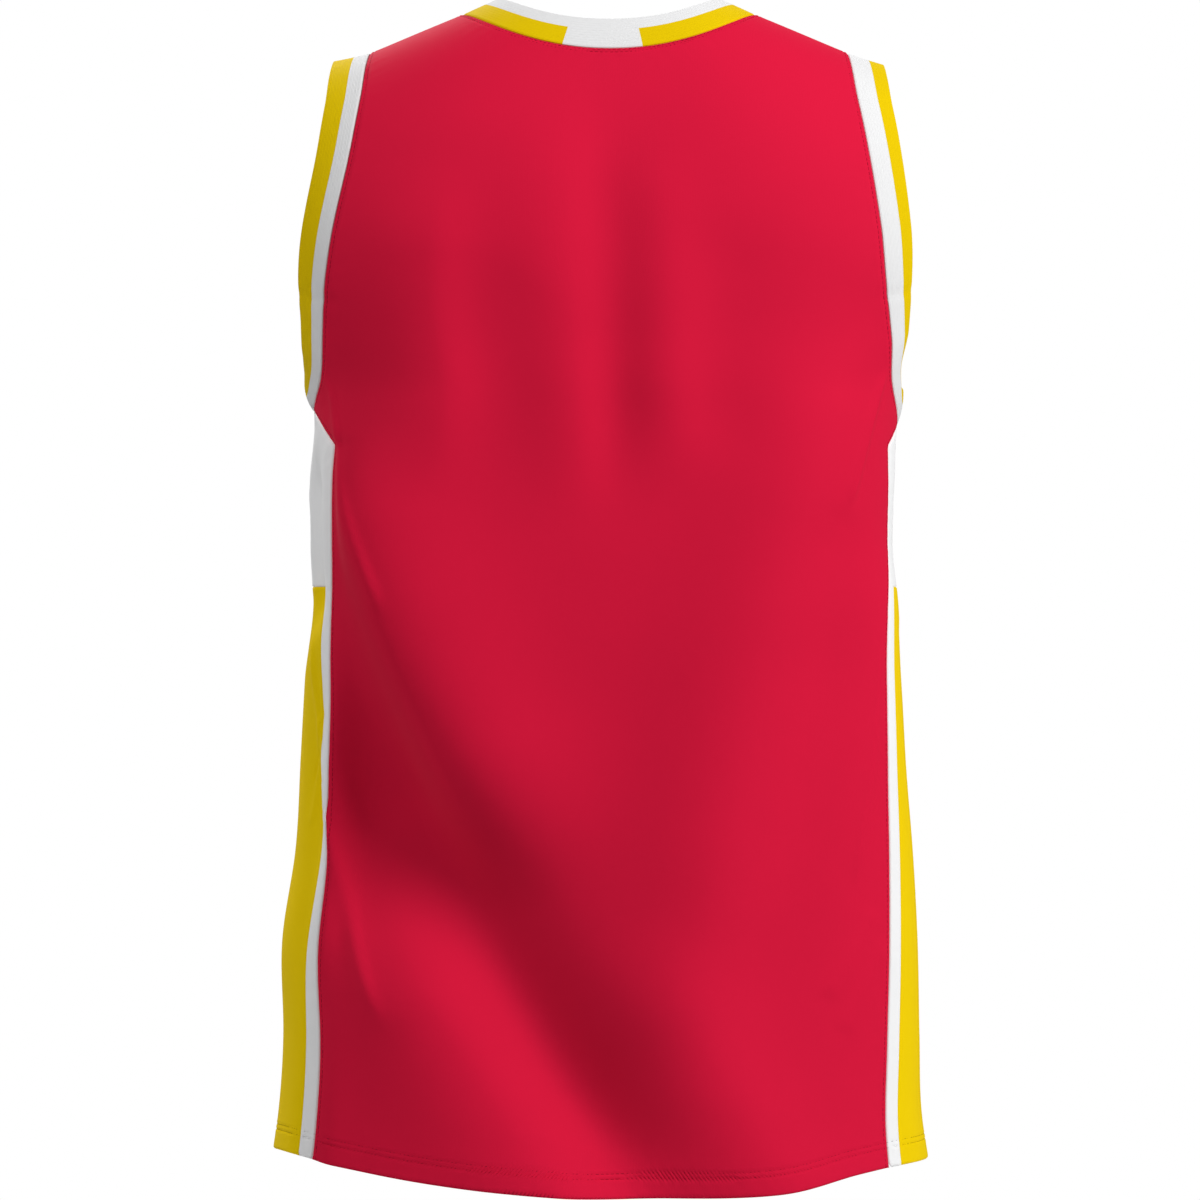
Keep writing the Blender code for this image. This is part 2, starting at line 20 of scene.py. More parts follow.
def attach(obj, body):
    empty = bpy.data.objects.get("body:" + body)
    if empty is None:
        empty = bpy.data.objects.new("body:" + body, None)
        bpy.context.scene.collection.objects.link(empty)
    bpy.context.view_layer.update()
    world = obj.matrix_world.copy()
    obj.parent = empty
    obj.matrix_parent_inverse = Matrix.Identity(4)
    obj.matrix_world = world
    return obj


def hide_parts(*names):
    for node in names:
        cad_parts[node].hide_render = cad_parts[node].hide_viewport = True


bl_info = {
    "name": "Basketball Jersey",
    "version": (1, 0, 0),
    "blender": (4, 5, 0),
    "location": "View3D > Sidebar > Jersey",
    "description": "Makes the cloth, bands and stitching of a basketball jersey round its packed model",
    "category": "Add Mesh",
}

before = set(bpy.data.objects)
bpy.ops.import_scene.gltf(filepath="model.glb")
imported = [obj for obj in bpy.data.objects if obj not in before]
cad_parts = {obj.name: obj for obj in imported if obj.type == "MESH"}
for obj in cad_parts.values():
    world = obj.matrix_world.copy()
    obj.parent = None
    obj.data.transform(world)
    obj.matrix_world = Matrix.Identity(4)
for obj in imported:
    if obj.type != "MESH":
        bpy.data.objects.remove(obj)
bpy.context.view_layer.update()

BACK, FRONT = 1, -1
LEFT, RIGHT = 0, 1
SIDES = {BACK: "back", FRONT: "front"}
HANDS = {LEFT: "left", RIGHT: "right"}

# ---------------------------------------------------------------- sizes of the form

SEAM_GAP = 0.0001
BAND_WIDTH = 0.025
ARM_WHITE_SHARES = (0.43, 0.57)
NECK_YELLOW_SHARE = 0.60
STRIPE_WIDTH = 0.0125
HEM_TURN = 0.020

# Each section is a rounded oblong, a superellipse whose exponent is its roundness
SECTIONS = (
    # height, half-width left, half-width right, depth behind, depth in front, roundness
    (0.000, 0.2340, 0.2440, 0.112, 0.112, 2.4),
    (-0.050, 0.2350, 0.2450, 0.113, 0.115, 2.4),
    (-0.100, 0.2380, 0.2480, 0.116, 0.120, 2.4),
    (-0.150, 0.2375, 0.2460, 0.118, 0.126, 2.4),
    (-0.190, 0.2320, 0.2390, 0.120, 0.129, 2.4),
    (-0.230, 0.2110, 0.2180, 0.121, 0.130, 2.6),
    (-0.258, 0.1915, 0.1995, 0.122, 0.130, 2.9),
    (-0.280, 0.1862, 0.1941, 0.122, 0.130, 3.1),
    (-0.320, 0.1894, 0.1922, 0.122, 0.129, 3.1),
    (-0.362, 0.1899, 0.1904, 0.122, 0.128, 3.1),
    (-0.400, 0.1882, 0.1941, 0.122, 0.127, 3.1),
    (-0.445, 0.1926, 0.1964, 0.122, 0.127, 3.0),
    (-0.500, 0.1966, 0.2000, 0.123, 0.128, 3.0),
    (-0.560, 0.2000, 0.2052, 0.125, 0.130, 2.9),
    (-0.620, 0.2083, 0.2085, 0.128, 0.133, 2.8),
    (-0.680, 0.2077, 0.2097, 0.131, 0.136, 2.7),
    (-0.730, 0.2108, 0.2102, 0.134, 0.139, 2.7),
    (-0.775, 0.2168, 0.2169, 0.137, 0.142, 2.7),
)

LEFT_WIDTH, RIGHT_WIDTH, BACK_DEPTH, FRONT_DEPTH, ROUNDNESS = range(1, 6)

# The shoulders: a sloping ridge, rounded at the neck, from which the depth grows over the cap
RIDGE_TOP = 0.0320
RIDGE_SLOPE = 0.44
RIDGE_ROUNDING = 0.040
SHOULDER_HALF_WIDTHS = (0.2345, 0.2445)
SHOULDER_ROUNDNESS = 2.4
CAP_HEIGHT = 0.150
NECK_CAP_EXTRA = 0.090
NECK_CAP_REACH = 0.070

# The neckline, where the neck's band is sewn on, and the white block in that band
NECK_MIDDLE_X = -0.0059
NECK_HALF_WIDTH = 0.0959
BACK_NECK_HEIGHT = -0.0446
BACK_NECK_POWER = 2.1
FRONT_NECK_HEIGHT = -0.1350
BLOCK_LEFT_X = 0.0243
BLOCK_RIGHT_X = -0.0272

# The armhole seam, from the shoulder down to the tip of the side panel
ARMHOLE = (
    # share of the way, height, then degrees from the side: left and right behind, left and right in front
    (0.000, -0.0393, 52.7, 51.2, 52.7, 51.2),
    (0.070, -0.0430, 52.5, 51.1, 53.0, 51.6),
    (0.140, -0.0540, 52.2, 50.9, 53.0, 51.8),
    (0.225, -0.0760, 51.9, 50.5, 53.0, 51.8),
    (0.375, -0.1170, 50.4, 48.8, 52.5, 51.0),
    (0.505, -0.1560, 47.8, 46.5, 50.8, 49.8),
    (0.630, -0.1940, 44.4, 43.3, 47.8, 47.3),
    (0.763, -0.2320, 38.6, 36.4, 41.5, 42.0),
    (0.838, -0.2500, 33.5, 31.0, 36.0, 38.0),
    (0.900, -0.2625, 27.0, 24.0, 28.5, 31.5),
    (0.955, -0.2715, 18.0, 15.5, 19.0, 24.5),
    (1.000, -0.2750, 10.0, 8.0, 10.0, 18.0),
)
RIGHT_ARMHOLE_DROP = 0.009

# The side seams below the armholes
SIDE_SEAMS = (
    # height, then degrees from the side: left behind, left in front, right behind, right in front
    (-0.299, 36.4, 35.0, 27.6, 43.0),
    (-0.365, 36.0, 35.5, 24.1, 46.0),
    (-0.404, 34.7, 37.0, 28.9, 43.0),
    (-0.461, 36.1, 36.5, 31.2, 41.0),
    (-0.530, 37.0, 37.0, 34.0, 39.5),
    (-0.600, 37.7, 37.7, 35.5, 38.5),
    (-0.700, 38.2, 38.3, 36.6, 38.2),
    (-0.770, 38.4, 38.5, 38.1, 38.4),
)
GUSSET_POWER = 0.5
INSERT_TOP_HEIGHT = -0.389

HEM = (
    # degrees round from the wearer's left side, height
    (-180, -0.7620),
    (-149, -0.7575),
    (-120, -0.7625),
    (-90, -0.7645),
    (-60, -0.7590),
    (-31, -0.7510),
    (0, -0.7550),
    (31, -0.7505),
    (44, -0.7550),
    (62, -0.7632),
    (75, -0.7675),
    (95, -0.7710),
    (118, -0.7690),
    (134, -0.7600),
    (149, -0.7575),
    (180, -0.7620),
)

# How far the bands lean out of the cloth they continue, in degrees, at their seam and at their far edge
ARM_LEAN = (
    # share of the way from the shoulder to the side panel, left at the seam and at the edge, right the same
    (0.00, 10.0, 15.0, 5.0, 9.0),
    (0.25, 5.0, -1.0, 6.0, -5.0),
    (0.55, 1.0, -12.0, 5.0, -23.0),
    (0.72, -5.0, -22.0, 2.0, -36.0),
    (0.86, 4.0, -8.0, 10.0, -34.0),
    (0.94, 10.0, -4.0, 14.0, -26.0),
    (1.00, 30.0, -16.0, 18.0, -8.0),
)
NECK_LEAN_SIDE = (3.0, 2.0)
NECK_LEAN_BACK = (2.0, -8.0)
NECK_LEAN_FRONT = (-1.0, -6.0)

# The least that a band curls across its width, in radians, and the reach over which its ways are evened out
LEAST_CURL = 0.001
BAND_SMOOTHING = 0.020

# ---------------------------------------------------------------- folds and creases

# The radius that turns a girth into a way across the unrolled form, and the share of its length over which a
# fold or a crease dies out at each end
GIRTH_RADIUS = 0.165
FOLD_FADE = 0.30
CREASE_FADE = 0.14

# How many of its half-widths a fold or a weight is followed for, to where nothing of it is left
TAIL = 3

# The seams at the sides are stiffer than the cloth: how much they hold a fold back, and how far from them
SEAM_HOLD = 0.80
SEAM_HOLD_REACH = 0.014

# Each fold runs from a start to an end over the unrolled form, and a bow carries its middle aside. Seen from
# outside, with its start above its end, it has a half-width on its left and one on its right. Ridges have a
# positive depth and troughs a negative one.
FOLDS = (
    # start girth, start height, end girth, end height, bow, half-width left, half-width right, depth
    # the back: its broad middle, the long diagonal trough below the left arm, and the ridges beside it
    (92, -0.260, 96, -0.900, 0.000, 0.085, 0.085, 0.008),
    (32, -0.400, 105, -0.840, 0.000, 0.070, 0.040, -0.027),
    (36, -0.250, 76, -0.600, -0.004, 0.020, 0.048, 0.019),
    (46, -0.570, 98, -0.860, 0.000, 0.045, 0.030, 0.020),
    (38, -0.600, 39, -0.900, 0.000, 0.030, 0.018, 0.005),
    # the back: shallow folds hanging from the shoulder blades
    (66, -0.110, 59, -0.340, 0.000, 0.035, 0.017, 0.006),
    (83, -0.040, 86, -0.360, 0.000, 0.028, 0.018, 0.005),
    (91, -0.060, 92, -0.370, 0.000, 0.018, 0.018, -0.004),
    (94, -0.080, 106, -0.330, 0.000, 0.020, 0.018, 0.004),
    (106, -0.140, 112, -0.330, 0.000, 0.022, 0.025, -0.003),
    # the back: the softer folds that run down from the right arm
    (142, -0.200, 104, -0.700, -0.022, 0.040, 0.036, 0.013),
    (140, -0.330, 110, -0.720, 0.000, 0.022, 0.028, -0.006),
    (95, -0.590, 129, -0.830, -0.004, 0.034, 0.028, 0.007),
    # the front: the same drape, unlike in its lengths and depths
    (-88, -0.340, -95, -0.860, 0.000, 0.080, 0.085, 0.0060),
    (-30, -0.400, -92, -0.780, 0.002, 0.044, 0.058, -0.0160),
    (-38, -0.290, -57, -0.470, -0.002, 0.080, 0.022, 0.0080),
    (-45, -0.600, -70, -0.790, 0.000, 0.030, 0.036, 0.0080),
    (-150, -0.330, -104, -0.700, -0.003, 0.040, 0.055, -0.0120),
    (-134, -0.520, -112, -0.790, 0.002, 0.034, 0.028, 0.0060),
    (-70, -0.150, -72, -0.330, 0.000, 0.024, 0.022, 0.0030),
    (-90, -0.180, -92, -0.360, 0.000, 0.022, 0.024, -0.0035),
    (-108, -0.150, -104, -0.340, 0.000, 0.022, 0.022, 0.0030),
    # the sides
    (22, -0.290, 26, -0.430, 0.000, 0.016, 0.020, -0.008),
    (4, -0.320, 9, -0.450, 0.000, 0.018, 0.022, -0.0030),
    (-12, -0.480, 2, -0.780, 0.000, 0.026, 0.030, -0.0040),
    (176, -0.460, 180, -0.740, 0.000, 0.028, 0.024, -0.0040),
)

# The finer creases, in the same terms
CREASES = (
    (33, -0.250, 53, -0.410, 0.002, 0.0060, 0.0024, 0.0020),
    (22, -0.410, 54, -0.670, -0.002, 0.0060, 0.0026, 0.0020),
    (30, -0.460, 54, -0.672, -0.002, 0.0120, 0.0080, 0.0010),
    (33, -0.456, 25, -0.518, 0.003, 0.0022, 0.0022, -0.0009),
    (29, -0.470, 25, -0.545, 0.004, 0.0045, 0.0045, 0.0011),
    (146, -0.250, 135, -0.340, -0.002, 0.0050, 0.0026, 0.0018),
    (146, -0.252, 133, -0.350, -0.002, 0.0100, 0.0140, 0.0012),
    (147, -0.425, 134, -0.580, 0.002, 0.0050, 0.0030, 0.0010),
    (140, -0.592, 128, -0.650, 0.001, 0.0060, 0.0060, 0.0008),
    (143, -0.612, 131, -0.672, -0.001, 0.0055, 0.0065, 0.0007),
    (36, -0.186, 44, -0.190, 0.000, 0.0040, 0.0040, -0.0007),
    (36, -0.202, 46, -0.210, 0.001, 0.0040, 0.0040, -0.0007),
    (143, -0.200, 136, -0.205, 0.000, 0.0040, 0.0040, -0.0007),
    (-31, -0.262, -49, -0.392, -0.002, 0.0036, 0.0022, 0.0009),
    (-24, -0.430, -51, -0.646, 0.003, 0.0036, 0.0024, 0.0009),
    (-147, -0.258, -134, -0.338, 0.002, 0.0030, 0.0030, 0.0007),
    (-149, -0.436, -137, -0.566, -0.003, 0.0036, 0.0036, 0.0007),
    (6, -0.318, 14, -0.402, 0.003, 0.0036, 0.0036, 0.0007),
    (172, -0.330, 168, -0.420, -0.003, 0.0040, 0.0040, 0.0006),
    (-8, -0.500, -16, -0.640, 0.004, 0.0044, 0.0044, 0.0006),
    (185, -0.540, 192, -0.690, -0.004, 0.0044, 0.0044, 0.0006),
)
# A crease with half-widths no more than this has rows of points of its own, at these shares of a half-width
FINE_CREASE = 0.0050
CREASE_ROWS = (-2.1, -1.3, -0.65, 0.0, 0.65, 1.3, 2.1)

# ---------------------------------------------------------------- seams

# How the cloth lies beside each kind of edge: how far in from the edge, and how far lifted
EDGE_ROWS = {
    "armhole": (
        (0.0, -0.0008), (0.0008, -0.0002), (0.0018, 0.0002), (0.0028, -0.0003), (0.0038, 0.0001),
        (0.0058, 0.0),
    ),
    "neck": (
        (0.0, -0.0008), (0.0007, -0.0002), (0.0014, -0.0003), (0.0023, 0.0002), (0.0032, -0.0003),
        (0.0042, 0.0001), (0.0060, 0.0),
    ),
    "side_red": (
        (0.0, -0.0009), (0.0008, -0.0004), (0.0019, 0.0001), (0.0033, -0.00012), (0.0045, 0.00005),
        (0.0062, 0.0),
    ),
    "side_white": ((0.0, -0.0009), (0.0009, -0.0001), (0.0022, 0.0), (0.0042, 0.0)),
    "stripe": ((0.0, -0.0002), (0.0010, 0.0), (0.0026, 0.0)),
    "insert_top": ((0.0, -0.0005), (0.0008, 0.0), (0.0022, 0.0), (0.0042, 0.0)),
    "shoulder": ((0.0, -0.0005), (0.0010, 0.0), (0.0024, 0.0001), (0.0044, 0.0)),
    "hem": (
        (0.0, -0.0007), (0.0006, -0.00015), (0.0018, 0.0), (0.0042, 0.0), (0.0074, 0.0),
        (0.0102, 0.0001), (0.0116, 0.0001), (0.0125, -0.00045), (0.0134, 0.0001), (0.0149, 0.0001),
        (0.0160, -0.00035), (0.0169, 0.0001), (0.0185, 0.0), (0.0196, 0.0), (0.0206, 0.0),
    ),
}

# Which of those rows are stitched, and the edges that pucker
STITCH_ROWS = {"armhole": (0.0028,), "neck": (0.0014, 0.0032), "side_red": (0.0033,), "hem": (0.0125, 0.0160)}
PUCKERED = ("armhole", "neck", "side_red", "side_white", "hem")

# The pucker: strongest at its reach from the edge, none beyond its limit, and along the edge a long and a
# short wave that drift past each other
PUCKER_REACH = 0.0045
PUCKER_LIMIT = 0.030
LONG_WAVE = 0.0118
SHORT_WAVE = 0.0071
SHORT_WAVE_SHARE = 0.6
WAVE_DRIFT = 1.3
DRIFT_LENGTH = 0.047

# A stitch's rings: share of its length, girth and height, in thread radii
STITCH_RINGS = ((0.0, 0.40, -0.50), (0.2, 0.95, 0.15), (0.8, 0.95, 0.15), (1.0, 0.40, -0.50))
STITCH_SIDES = 6

# The roll of a band beside its seam
ROLL_WIDTH = 0.0011
ROLL_DEPTH = 0.0007
ROLL_SHARES = (0.0, 0.45)

# A band's ribs, and its rounded free edge: its radius as a share of the wall, and where its strips start on
# their quarter turn
STRIPS_PER_RIB = 4
FREE_EDGE_ROUNDING = 0.45
FREE_EDGE_START = 0.15
FREE_EDGE_STRIPS = 4

# The spacing of a piece's points along its seams, and the least distance between two of its points
SEAM_STEP = 0.0025
LEAST_APART = 0.00045

# How far a row keeps from any edge, as a share of its own distance from its edge and at most, and how far the
# points inside keep from rows and creases, as a share of their spacing
ROW_CLEARANCE = 0.8
MOST_CLEARANCE = 0.0022
GRAIN_CLEARANCE = 0.55

# The least that a mitre is divided by, which keeps it short at a sharp corner
SHARPEST_MITRE = 0.4

# The points of a line before it is evenly spaced, and the steps over which slopes and stretch are measured
DENSE = 600
SHOULDER_POINTS = 40
SMALL_TURN = 0.0005
SMALL_DROP = 0.0001
STRETCH_TURN = 0.02

# The share of its way over which a line comes up to the ridge, and the height at which the girth is unrolled
ARM_MEETS_RIDGE = 1 / 16
NECK_MEETS_RIDGE = 0.1
UNROLLED_AT = -0.5

# Triangles are made only inside an outline, and points nearer than this become one
ONLY_INSIDE = 1
MERGE_WITHIN = 1e-7

# The name of each mesh's map, and the angle from which its edges are sharp
MAP_NAME = "cloth"
SHARP_ANGLE = math.radians(55)

# ---------------------------------------------------------------- settings a user would change

Length = functools.partial(FloatProperty, unit="LENGTH")
Power = functools.partial(FloatProperty, unit="POWER")
Colour = functools.partial(FloatVectorProperty, subtype="COLOR", size=3)


class JerseyCloth(PropertyGroup):
    """The cloth of the panels."""

    wall: Length(name="Thickness", description="Thickness of the knit", default=0.0010)
    hem_wall: Length(name="Hem thickness", description="Thickness where the hem is turned up", default=0.0019)
    grain: Length(name="Grain", description="Spacing of the points inside a panel", default=0.0030)
    crease: FloatProperty(
        name="Creases", description="How deep the finer creases are", default=1.0, subtype="FACTOR"
    )
    pucker: Length(name="Pucker", description="How far the seams gather the cloth", default=0.00010)


class JerseyBand(PropertyGroup):
    """The ribbed bands of the neck and the armholes."""

    wall: Length(name="Thickness", description="Thickness of the rib", default=0.0017)
    rib: Length(name="Rib", description="Spacing of the lines that run along a band", default=0.00208)
    rib_depth: Length(name="Rib depth", description="Depth of those lines", default=0.00008)


class JerseyStitch(PropertyGroup):
    """The stitching along the seams and the hem."""

    length: Length(name="Length", description="Length of a stitch", default=0.0025)
    gap: Length(name="Gap", description="Gap between two stitches", default=0.0007)
    thread: Length(name="Thread", description="Thickness of the thread", default=0.0004)


class JerseyColour(PropertyGroup):
    """The colours of the cloth."""

    red: Colour(name="Red", description="Colour of the back and the front", default=(0.69, 0.0092, 0.046))
    white: Colour(
        name="White", description="Colour of the side panels and the bands", default=(0.93, 0.93, 0.935)
    )
    yellow: Colour(
        name="Yellow", description="Colour of the inserts and the bands", default=(0.91, 0.64, 0.001)
    )


class JerseyStage(PropertyGroup):
    """The floor, the light and the camera."""

    floor_height: Length(name="Floor", description="Height of the floor", default=-1.45)
    floor_radius: Length(name="Floor radius", description="Radius of the floor", default=1.1)
    around: FloatProperty(
        name="Light around", description="Strength of the even light from all round", default=0.12
    )
    key: Power(name="Key light", description="Power of the light behind the wearer's right", default=100.0)
    high: Power(name="High light", description="Power of the light above the wearer's left", default=40.0)
    side: Power(name="Side light", description="Power of the light on the wearer's left", default=16.0)
    front: Power(name="Front light", description="Power of the light in front of the wearer", default=60.0)
    camera_distance: Length(
        name="Camera distance", description="How far behind the jersey the camera stands", default=2.7
    )
    camera_height: Length(name="Camera height", description="Height of the camera", default=-0.3975)
    lens: FloatProperty(name="Lens", description="Focal length in millimetres", default=123.3)


# ---------------------------------------------------------------- the form


def read(table, key, column):
    """The smooth values of a table's column, where its first column is key."""
    rows = np.array(table if table[-1][0] > table[0][0] else table[::-1], float)
    keys, values = rows[:, 0], rows[:, column]
    places = np.arange(len(keys))
    low, high = np.maximum(places - 1, 0), np.minimum(places + 1, len(keys) - 1)
    slopes = (values[high] - values[low]) / (keys[high] - keys[low])
    place = np.clip(np.searchsorted(keys, key) - 1, 0, len(keys) - 2)
    step = keys[place + 1] - keys[place]
    share = np.clip((key - keys[place]) / step, 0, 1)
    square, cube = share**2, share**3
    return (
        (2 * cube - 3 * square + 1) * values[place]
        + (cube - 2 * square + share) * slopes[place] * step
        + (3 * square - 2 * cube) * values[place + 1]
        + (cube - square) * slopes[place + 1] * step
    )


def mix(start, end, share):
    return start + (end - start) * share


def unit(vectors):
    return vectors / np.linalg.norm(vectors, axis=-1, keepdims=True)


def unit_section(girth, roundness):
    """A superellipse of half-width and depth 1, at an angle."""
    across, deep = np.cos(girth), np.sin(girth)
    size = (abs(across) ** roundness + abs(deep) ** roundness) ** (1 / roundness)
    return across / size, deep / size


def shoulder_ridge(x):
    return RIDGE_TOP - RIDGE_SLOPE * np.hypot(x - NECK_MIDDLE_X, RIDGE_ROUNDING)


def shoulder_over(girth):
    """The ridge's height above a girth, and how far below it the form reaches its full depth."""
    across = unit_section(girth, SHOULDER_ROUNDNESS)[0]
    x = across * np.where(across > 0, *SHOULDER_HALF_WIDTHS)
    near_neck = np.exp(-(((x - NECK_MIDDLE_X) / NECK_CAP_REACH) ** 2))
    return shoulder_ridge(x), CAP_HEIGHT + NECK_CAP_EXTRA * near_neck


def chord(start_girth, start_height, end_girth, end_height):
    """A fold's way over the unrolled form, from its start."""
    return np.array((math.radians(end_girth - start_girth) * GIRTH_RADIUS, end_height - start_height))


def half_turn(angle):
    """An angle brought within half a turn of zero."""
    return (angle + math.pi) % (2 * math.pi) - math.pi


def from_start(girth, height, start_girth, start_height):
    """Where places lie on the unrolled form, from a fold's start."""
    return half_turn(girth - math.radians(start_girth)) * GIRTH_RADIUS, height - start_height


def faded(share, fade):
    """A fold's strength along its way: it dies out softly towards both ends."""
    return np.sin(np.minimum(np.minimum(share, 1 - share) / fade, 1.0) * math.pi / 2) ** 2


def relief_of(folds, fade, girth, height):
    """How far folds lift the cloth."""
    relief = np.zeros_like(girth)
    for start_girth, start_height, end_girth, end_height, bow, left, right, depth in folds:
        along = chord(start_girth, start_height, end_girth, end_height)
        length = math.hypot(*along)
        x, z = from_start(girth, height, start_girth, start_height)
        share = (x * along[0] + z * along[1]) / length**2
        aside = (z * along[0] - x * along[1]) / length
        reach = abs(bow) + TAIL * max(left, right)
        near = np.flatnonzero((share > 0) & (share < 1) & (abs(aside) < reach))
        share, aside = share[near], aside[near] - 4 * bow * share[near] * (1 - share[near])
        away = aside / np.where(aside < 0, left, right)
        relief[near] += depth * np.exp(-(away**2)) * faded(share, fade)
    return relief


def held(girth, height):
    """The share of a fold's lift that the side seams leave."""
    share = np.ones_like(girth)
    for side in SIDES:
        for hand in HANDS:
            seam = girth_from_side(side, hand, seam_angle(side, hand, height))
            share -= SEAM_HOLD * np.exp(-((half_turn(girth - seam) * GIRTH_RADIUS / SEAM_HOLD_REACH) ** 2))
    return share


def relief_at(girth, height):
    """How far the folds and the finer creases lift the cloth."""
    crease = bpy.context.scene.jersey_cloth.crease
    folds = relief_of(FOLDS, FOLD_FADE, girth, height) * held(girth, height)
    return folds + crease * relief_of(CREASES, CREASE_FADE, girth, height)


def half_width(x, height):
    """The form's half-width at a height, on the side that x is on."""
    return np.where(x > 0, read(SECTIONS, height, LEFT_WIDTH), read(SECTIONS, height, RIGHT_WIDTH))


def cloth_points(spots):
    """The points of the cloth's outer face at spots."""
    girth, drop = spots[:, 0], spots[:, 1]
    ridge, reach = shoulder_over(girth)
    turn = np.minimum(drop / reach, math.pi / 2)
    height = ridge - reach * (1 - np.cos(turn)) - np.maximum(drop - reach * math.pi / 2, 0)
    across, deep = unit_section(girth, read(SECTIONS, height, ROUNDNESS))
    width = half_width(across, height)
    depth = np.where(deep > 0, read(SECTIONS, height, BACK_DEPTH), read(SECTIONS, height, FRONT_DEPTH))
    cap = np.sin(turn)
    outward = unit(np.stack((across / width, deep / depth), axis=1))
    lift = relief_at(girth, height) * cap
    return np.stack(
        (width * across + outward[:, 0] * lift, depth * deep * cap + outward[:, 1] * lift, height), axis=1
    )


def slopes(spots):
    """How the cloth's points move with the girth and with the drop."""
    found = []
    for step in ((SMALL_TURN, 0.0), (0.0, SMALL_DROP)):
        step = np.array(step)
        found.append((cloth_points(spots + step) - cloth_points(spots - step)) / (2 * step.sum()))
    return found


def normals_at(spots):
    by_girth, by_drop = slopes(spots)
    return unit(np.cross(by_drop, by_girth))


def spots_at(girth, height):
    """The spots at girths and heights."""
    ridge, reach = shoulder_over(girth)
    below = np.maximum(ridge - height, 0.0)
    over = reach * np.arccos(np.clip(1 - below / reach, 0, 1))
    return np.stack((girth, np.where(below < reach, over, reach * math.pi / 2 + below - reach)), axis=1)


def girth_at(side, x, height):
    """The girth of the form where it is x from the middle at a height."""
    roundness = read(SECTIONS, height, ROUNDNESS)
    share = abs(x) / half_width(x, height)
    angle = np.arctan2((1 - share**roundness) ** (1 / roundness), share)
    return side * np.where(x > 0, angle, math.pi - angle)


def girth_from_side(side, hand, angle):
    """The girth at an angle from the wearer's left or right side, towards the back or the front."""
    return side * angle if hand == LEFT else math.pi - side * angle


def lengths_along(points):
    """How far along a line each of its points is."""
    return np.concatenate(([0.0], np.cumsum(np.linalg.norm(np.diff(points, axis=0), axis=1))))


def at_lengths(values, lengths, wanted):
    return np.stack([np.interp(wanted, lengths, column) for column in values.T], axis=1)


def even(spots, step=SEAM_STEP):
    """A line of spots again, evenly spaced over the cloth."""
    lengths = lengths_along(cloth_points(spots))
    count = max(round(lengths[-1] / step), 2)
    return at_lengths(spots, lengths, np.linspace(0, lengths[-1], count + 1))


def inset(line, distance):
    """A line of spots moved over the cloth to the left of its way, seen from outside, by a distance."""
    along = np.gradient(line, axis=0)
    by_girth, by_drop = slopes(line)
    way = along[:, :1] * by_girth + along[:, 1:] * by_drop
    aside = np.stack(((way * by_drop).sum(1), -(way * by_girth).sum(1)), axis=1)
    size = np.linalg.norm(aside[:, :1] * by_girth + aside[:, 1:] * by_drop, axis=1)
    return line + aside * (distance / size)[:, None]


# ---------------------------------------------------------------- the cloth unrolled


@functools.lru_cache
def girth_lengths():
    """Girths from one turn before the left side to one turn after it, and the cloth's length to each."""
    girths = np.linspace(-2 * math.pi, 2 * math.pi, 4 * DENSE + 1)
    lengths = lengths_along(cloth_points(spots_at(girths, np.full(len(girths), UNROLLED_AT))))
    return girths, lengths - lengths[2 * DENSE]


def unrolled(spots):
    """Spots on the unrolled cloth, in metres, with up as up."""
    return np.stack((np.interp(spots[:, 0], *girth_lengths()), -spots[:, 1]), axis=1)


def rolled(places):
    """The spots of places on the unrolled cloth."""
    return np.stack((np.interp(places[:, 0], *girth_lengths()[::-1]), -places[:, 1]), axis=1)


# ---------------------------------------------------------------- seams and edges, as lines of spots


def from_ridge(spots, share, fade):
    """A line of spots that starts on the shoulders' ridge, brought up to meet it there."""
    lift = spots[0, 1] * np.maximum(1 - share / fade, 0) ** 2
    return np.stack((spots[:, 0], spots[:, 1] - lift), axis=1)


def tip_height(hand):
    """The height of a side panel's tip, where the armhole's seam ends."""
    return ARMHOLE[-1][1] - hand * RIGHT_ARMHOLE_DROP


def armhole_angle(side, hand, share):
    """The armhole seam's angle from the side, in degrees."""
    return read(ARMHOLE, share, 2 + hand + (0 if side == BACK else 2))


def armhole_seam(side, hand):
    """From the shoulder down to the tip of the side panel."""
    share = np.linspace(0, 1, DENSE) ** 2
    girth = girth_from_side(side, hand, np.radians(armhole_angle(side, hand, share)))
    height = read(ARMHOLE, share, 1) - hand * RIGHT_ARMHOLE_DROP * share**2
    return from_ridge(spots_at(girth, height), share, ARM_MEETS_RIDGE)


def hem_height(girth):
    return read(HEM, np.degrees(half_turn(girth)), 1)


def seam_angle(side, hand, height):
    """A side seam's angle from the side, in radians."""
    tip = tip_height(hand)
    gusset = np.clip((tip - height) / (tip - SIDE_SEAMS[0][0]), 0, 1)
    below = read(SIDE_SEAMS, height, 1 + 2 * hand + (0 if side == BACK else 1))
    return np.radians(mix(armhole_angle(side, hand, 1.0), below, gusset**GUSSET_POWER))


def stretch(girth, height):
    """The metres of cloth in a radian of girth."""
    start, end = (cloth_points(spots_at(girth + turn, height)) for turn in (-STRETCH_TURN, STRETCH_TURN))
    return np.linalg.norm(end - start, axis=1) / (2 * STRETCH_TURN)


def side_seam(side, hand, top, aside=0.0):
    """From a height down to the hem, or the same line set inwards over the side panel."""
    bottom = hem_height(girth_from_side(side, hand, math.radians(SIDE_SEAMS[-1][1 + 2 * hand])))
    height = np.linspace(top, bottom, DENSE)
    girth = girth_from_side(side, hand, seam_angle(side, hand, height))
    if aside:
        inwards = -side if hand == LEFT else side
        girth = girth + inwards * aside / stretch(girth, height)
    lower = np.clip((height - top) / (bottom - top), 0, 1)
    return spots_at(girth, height + (hem_height(girth[-1]) - bottom) * lower)


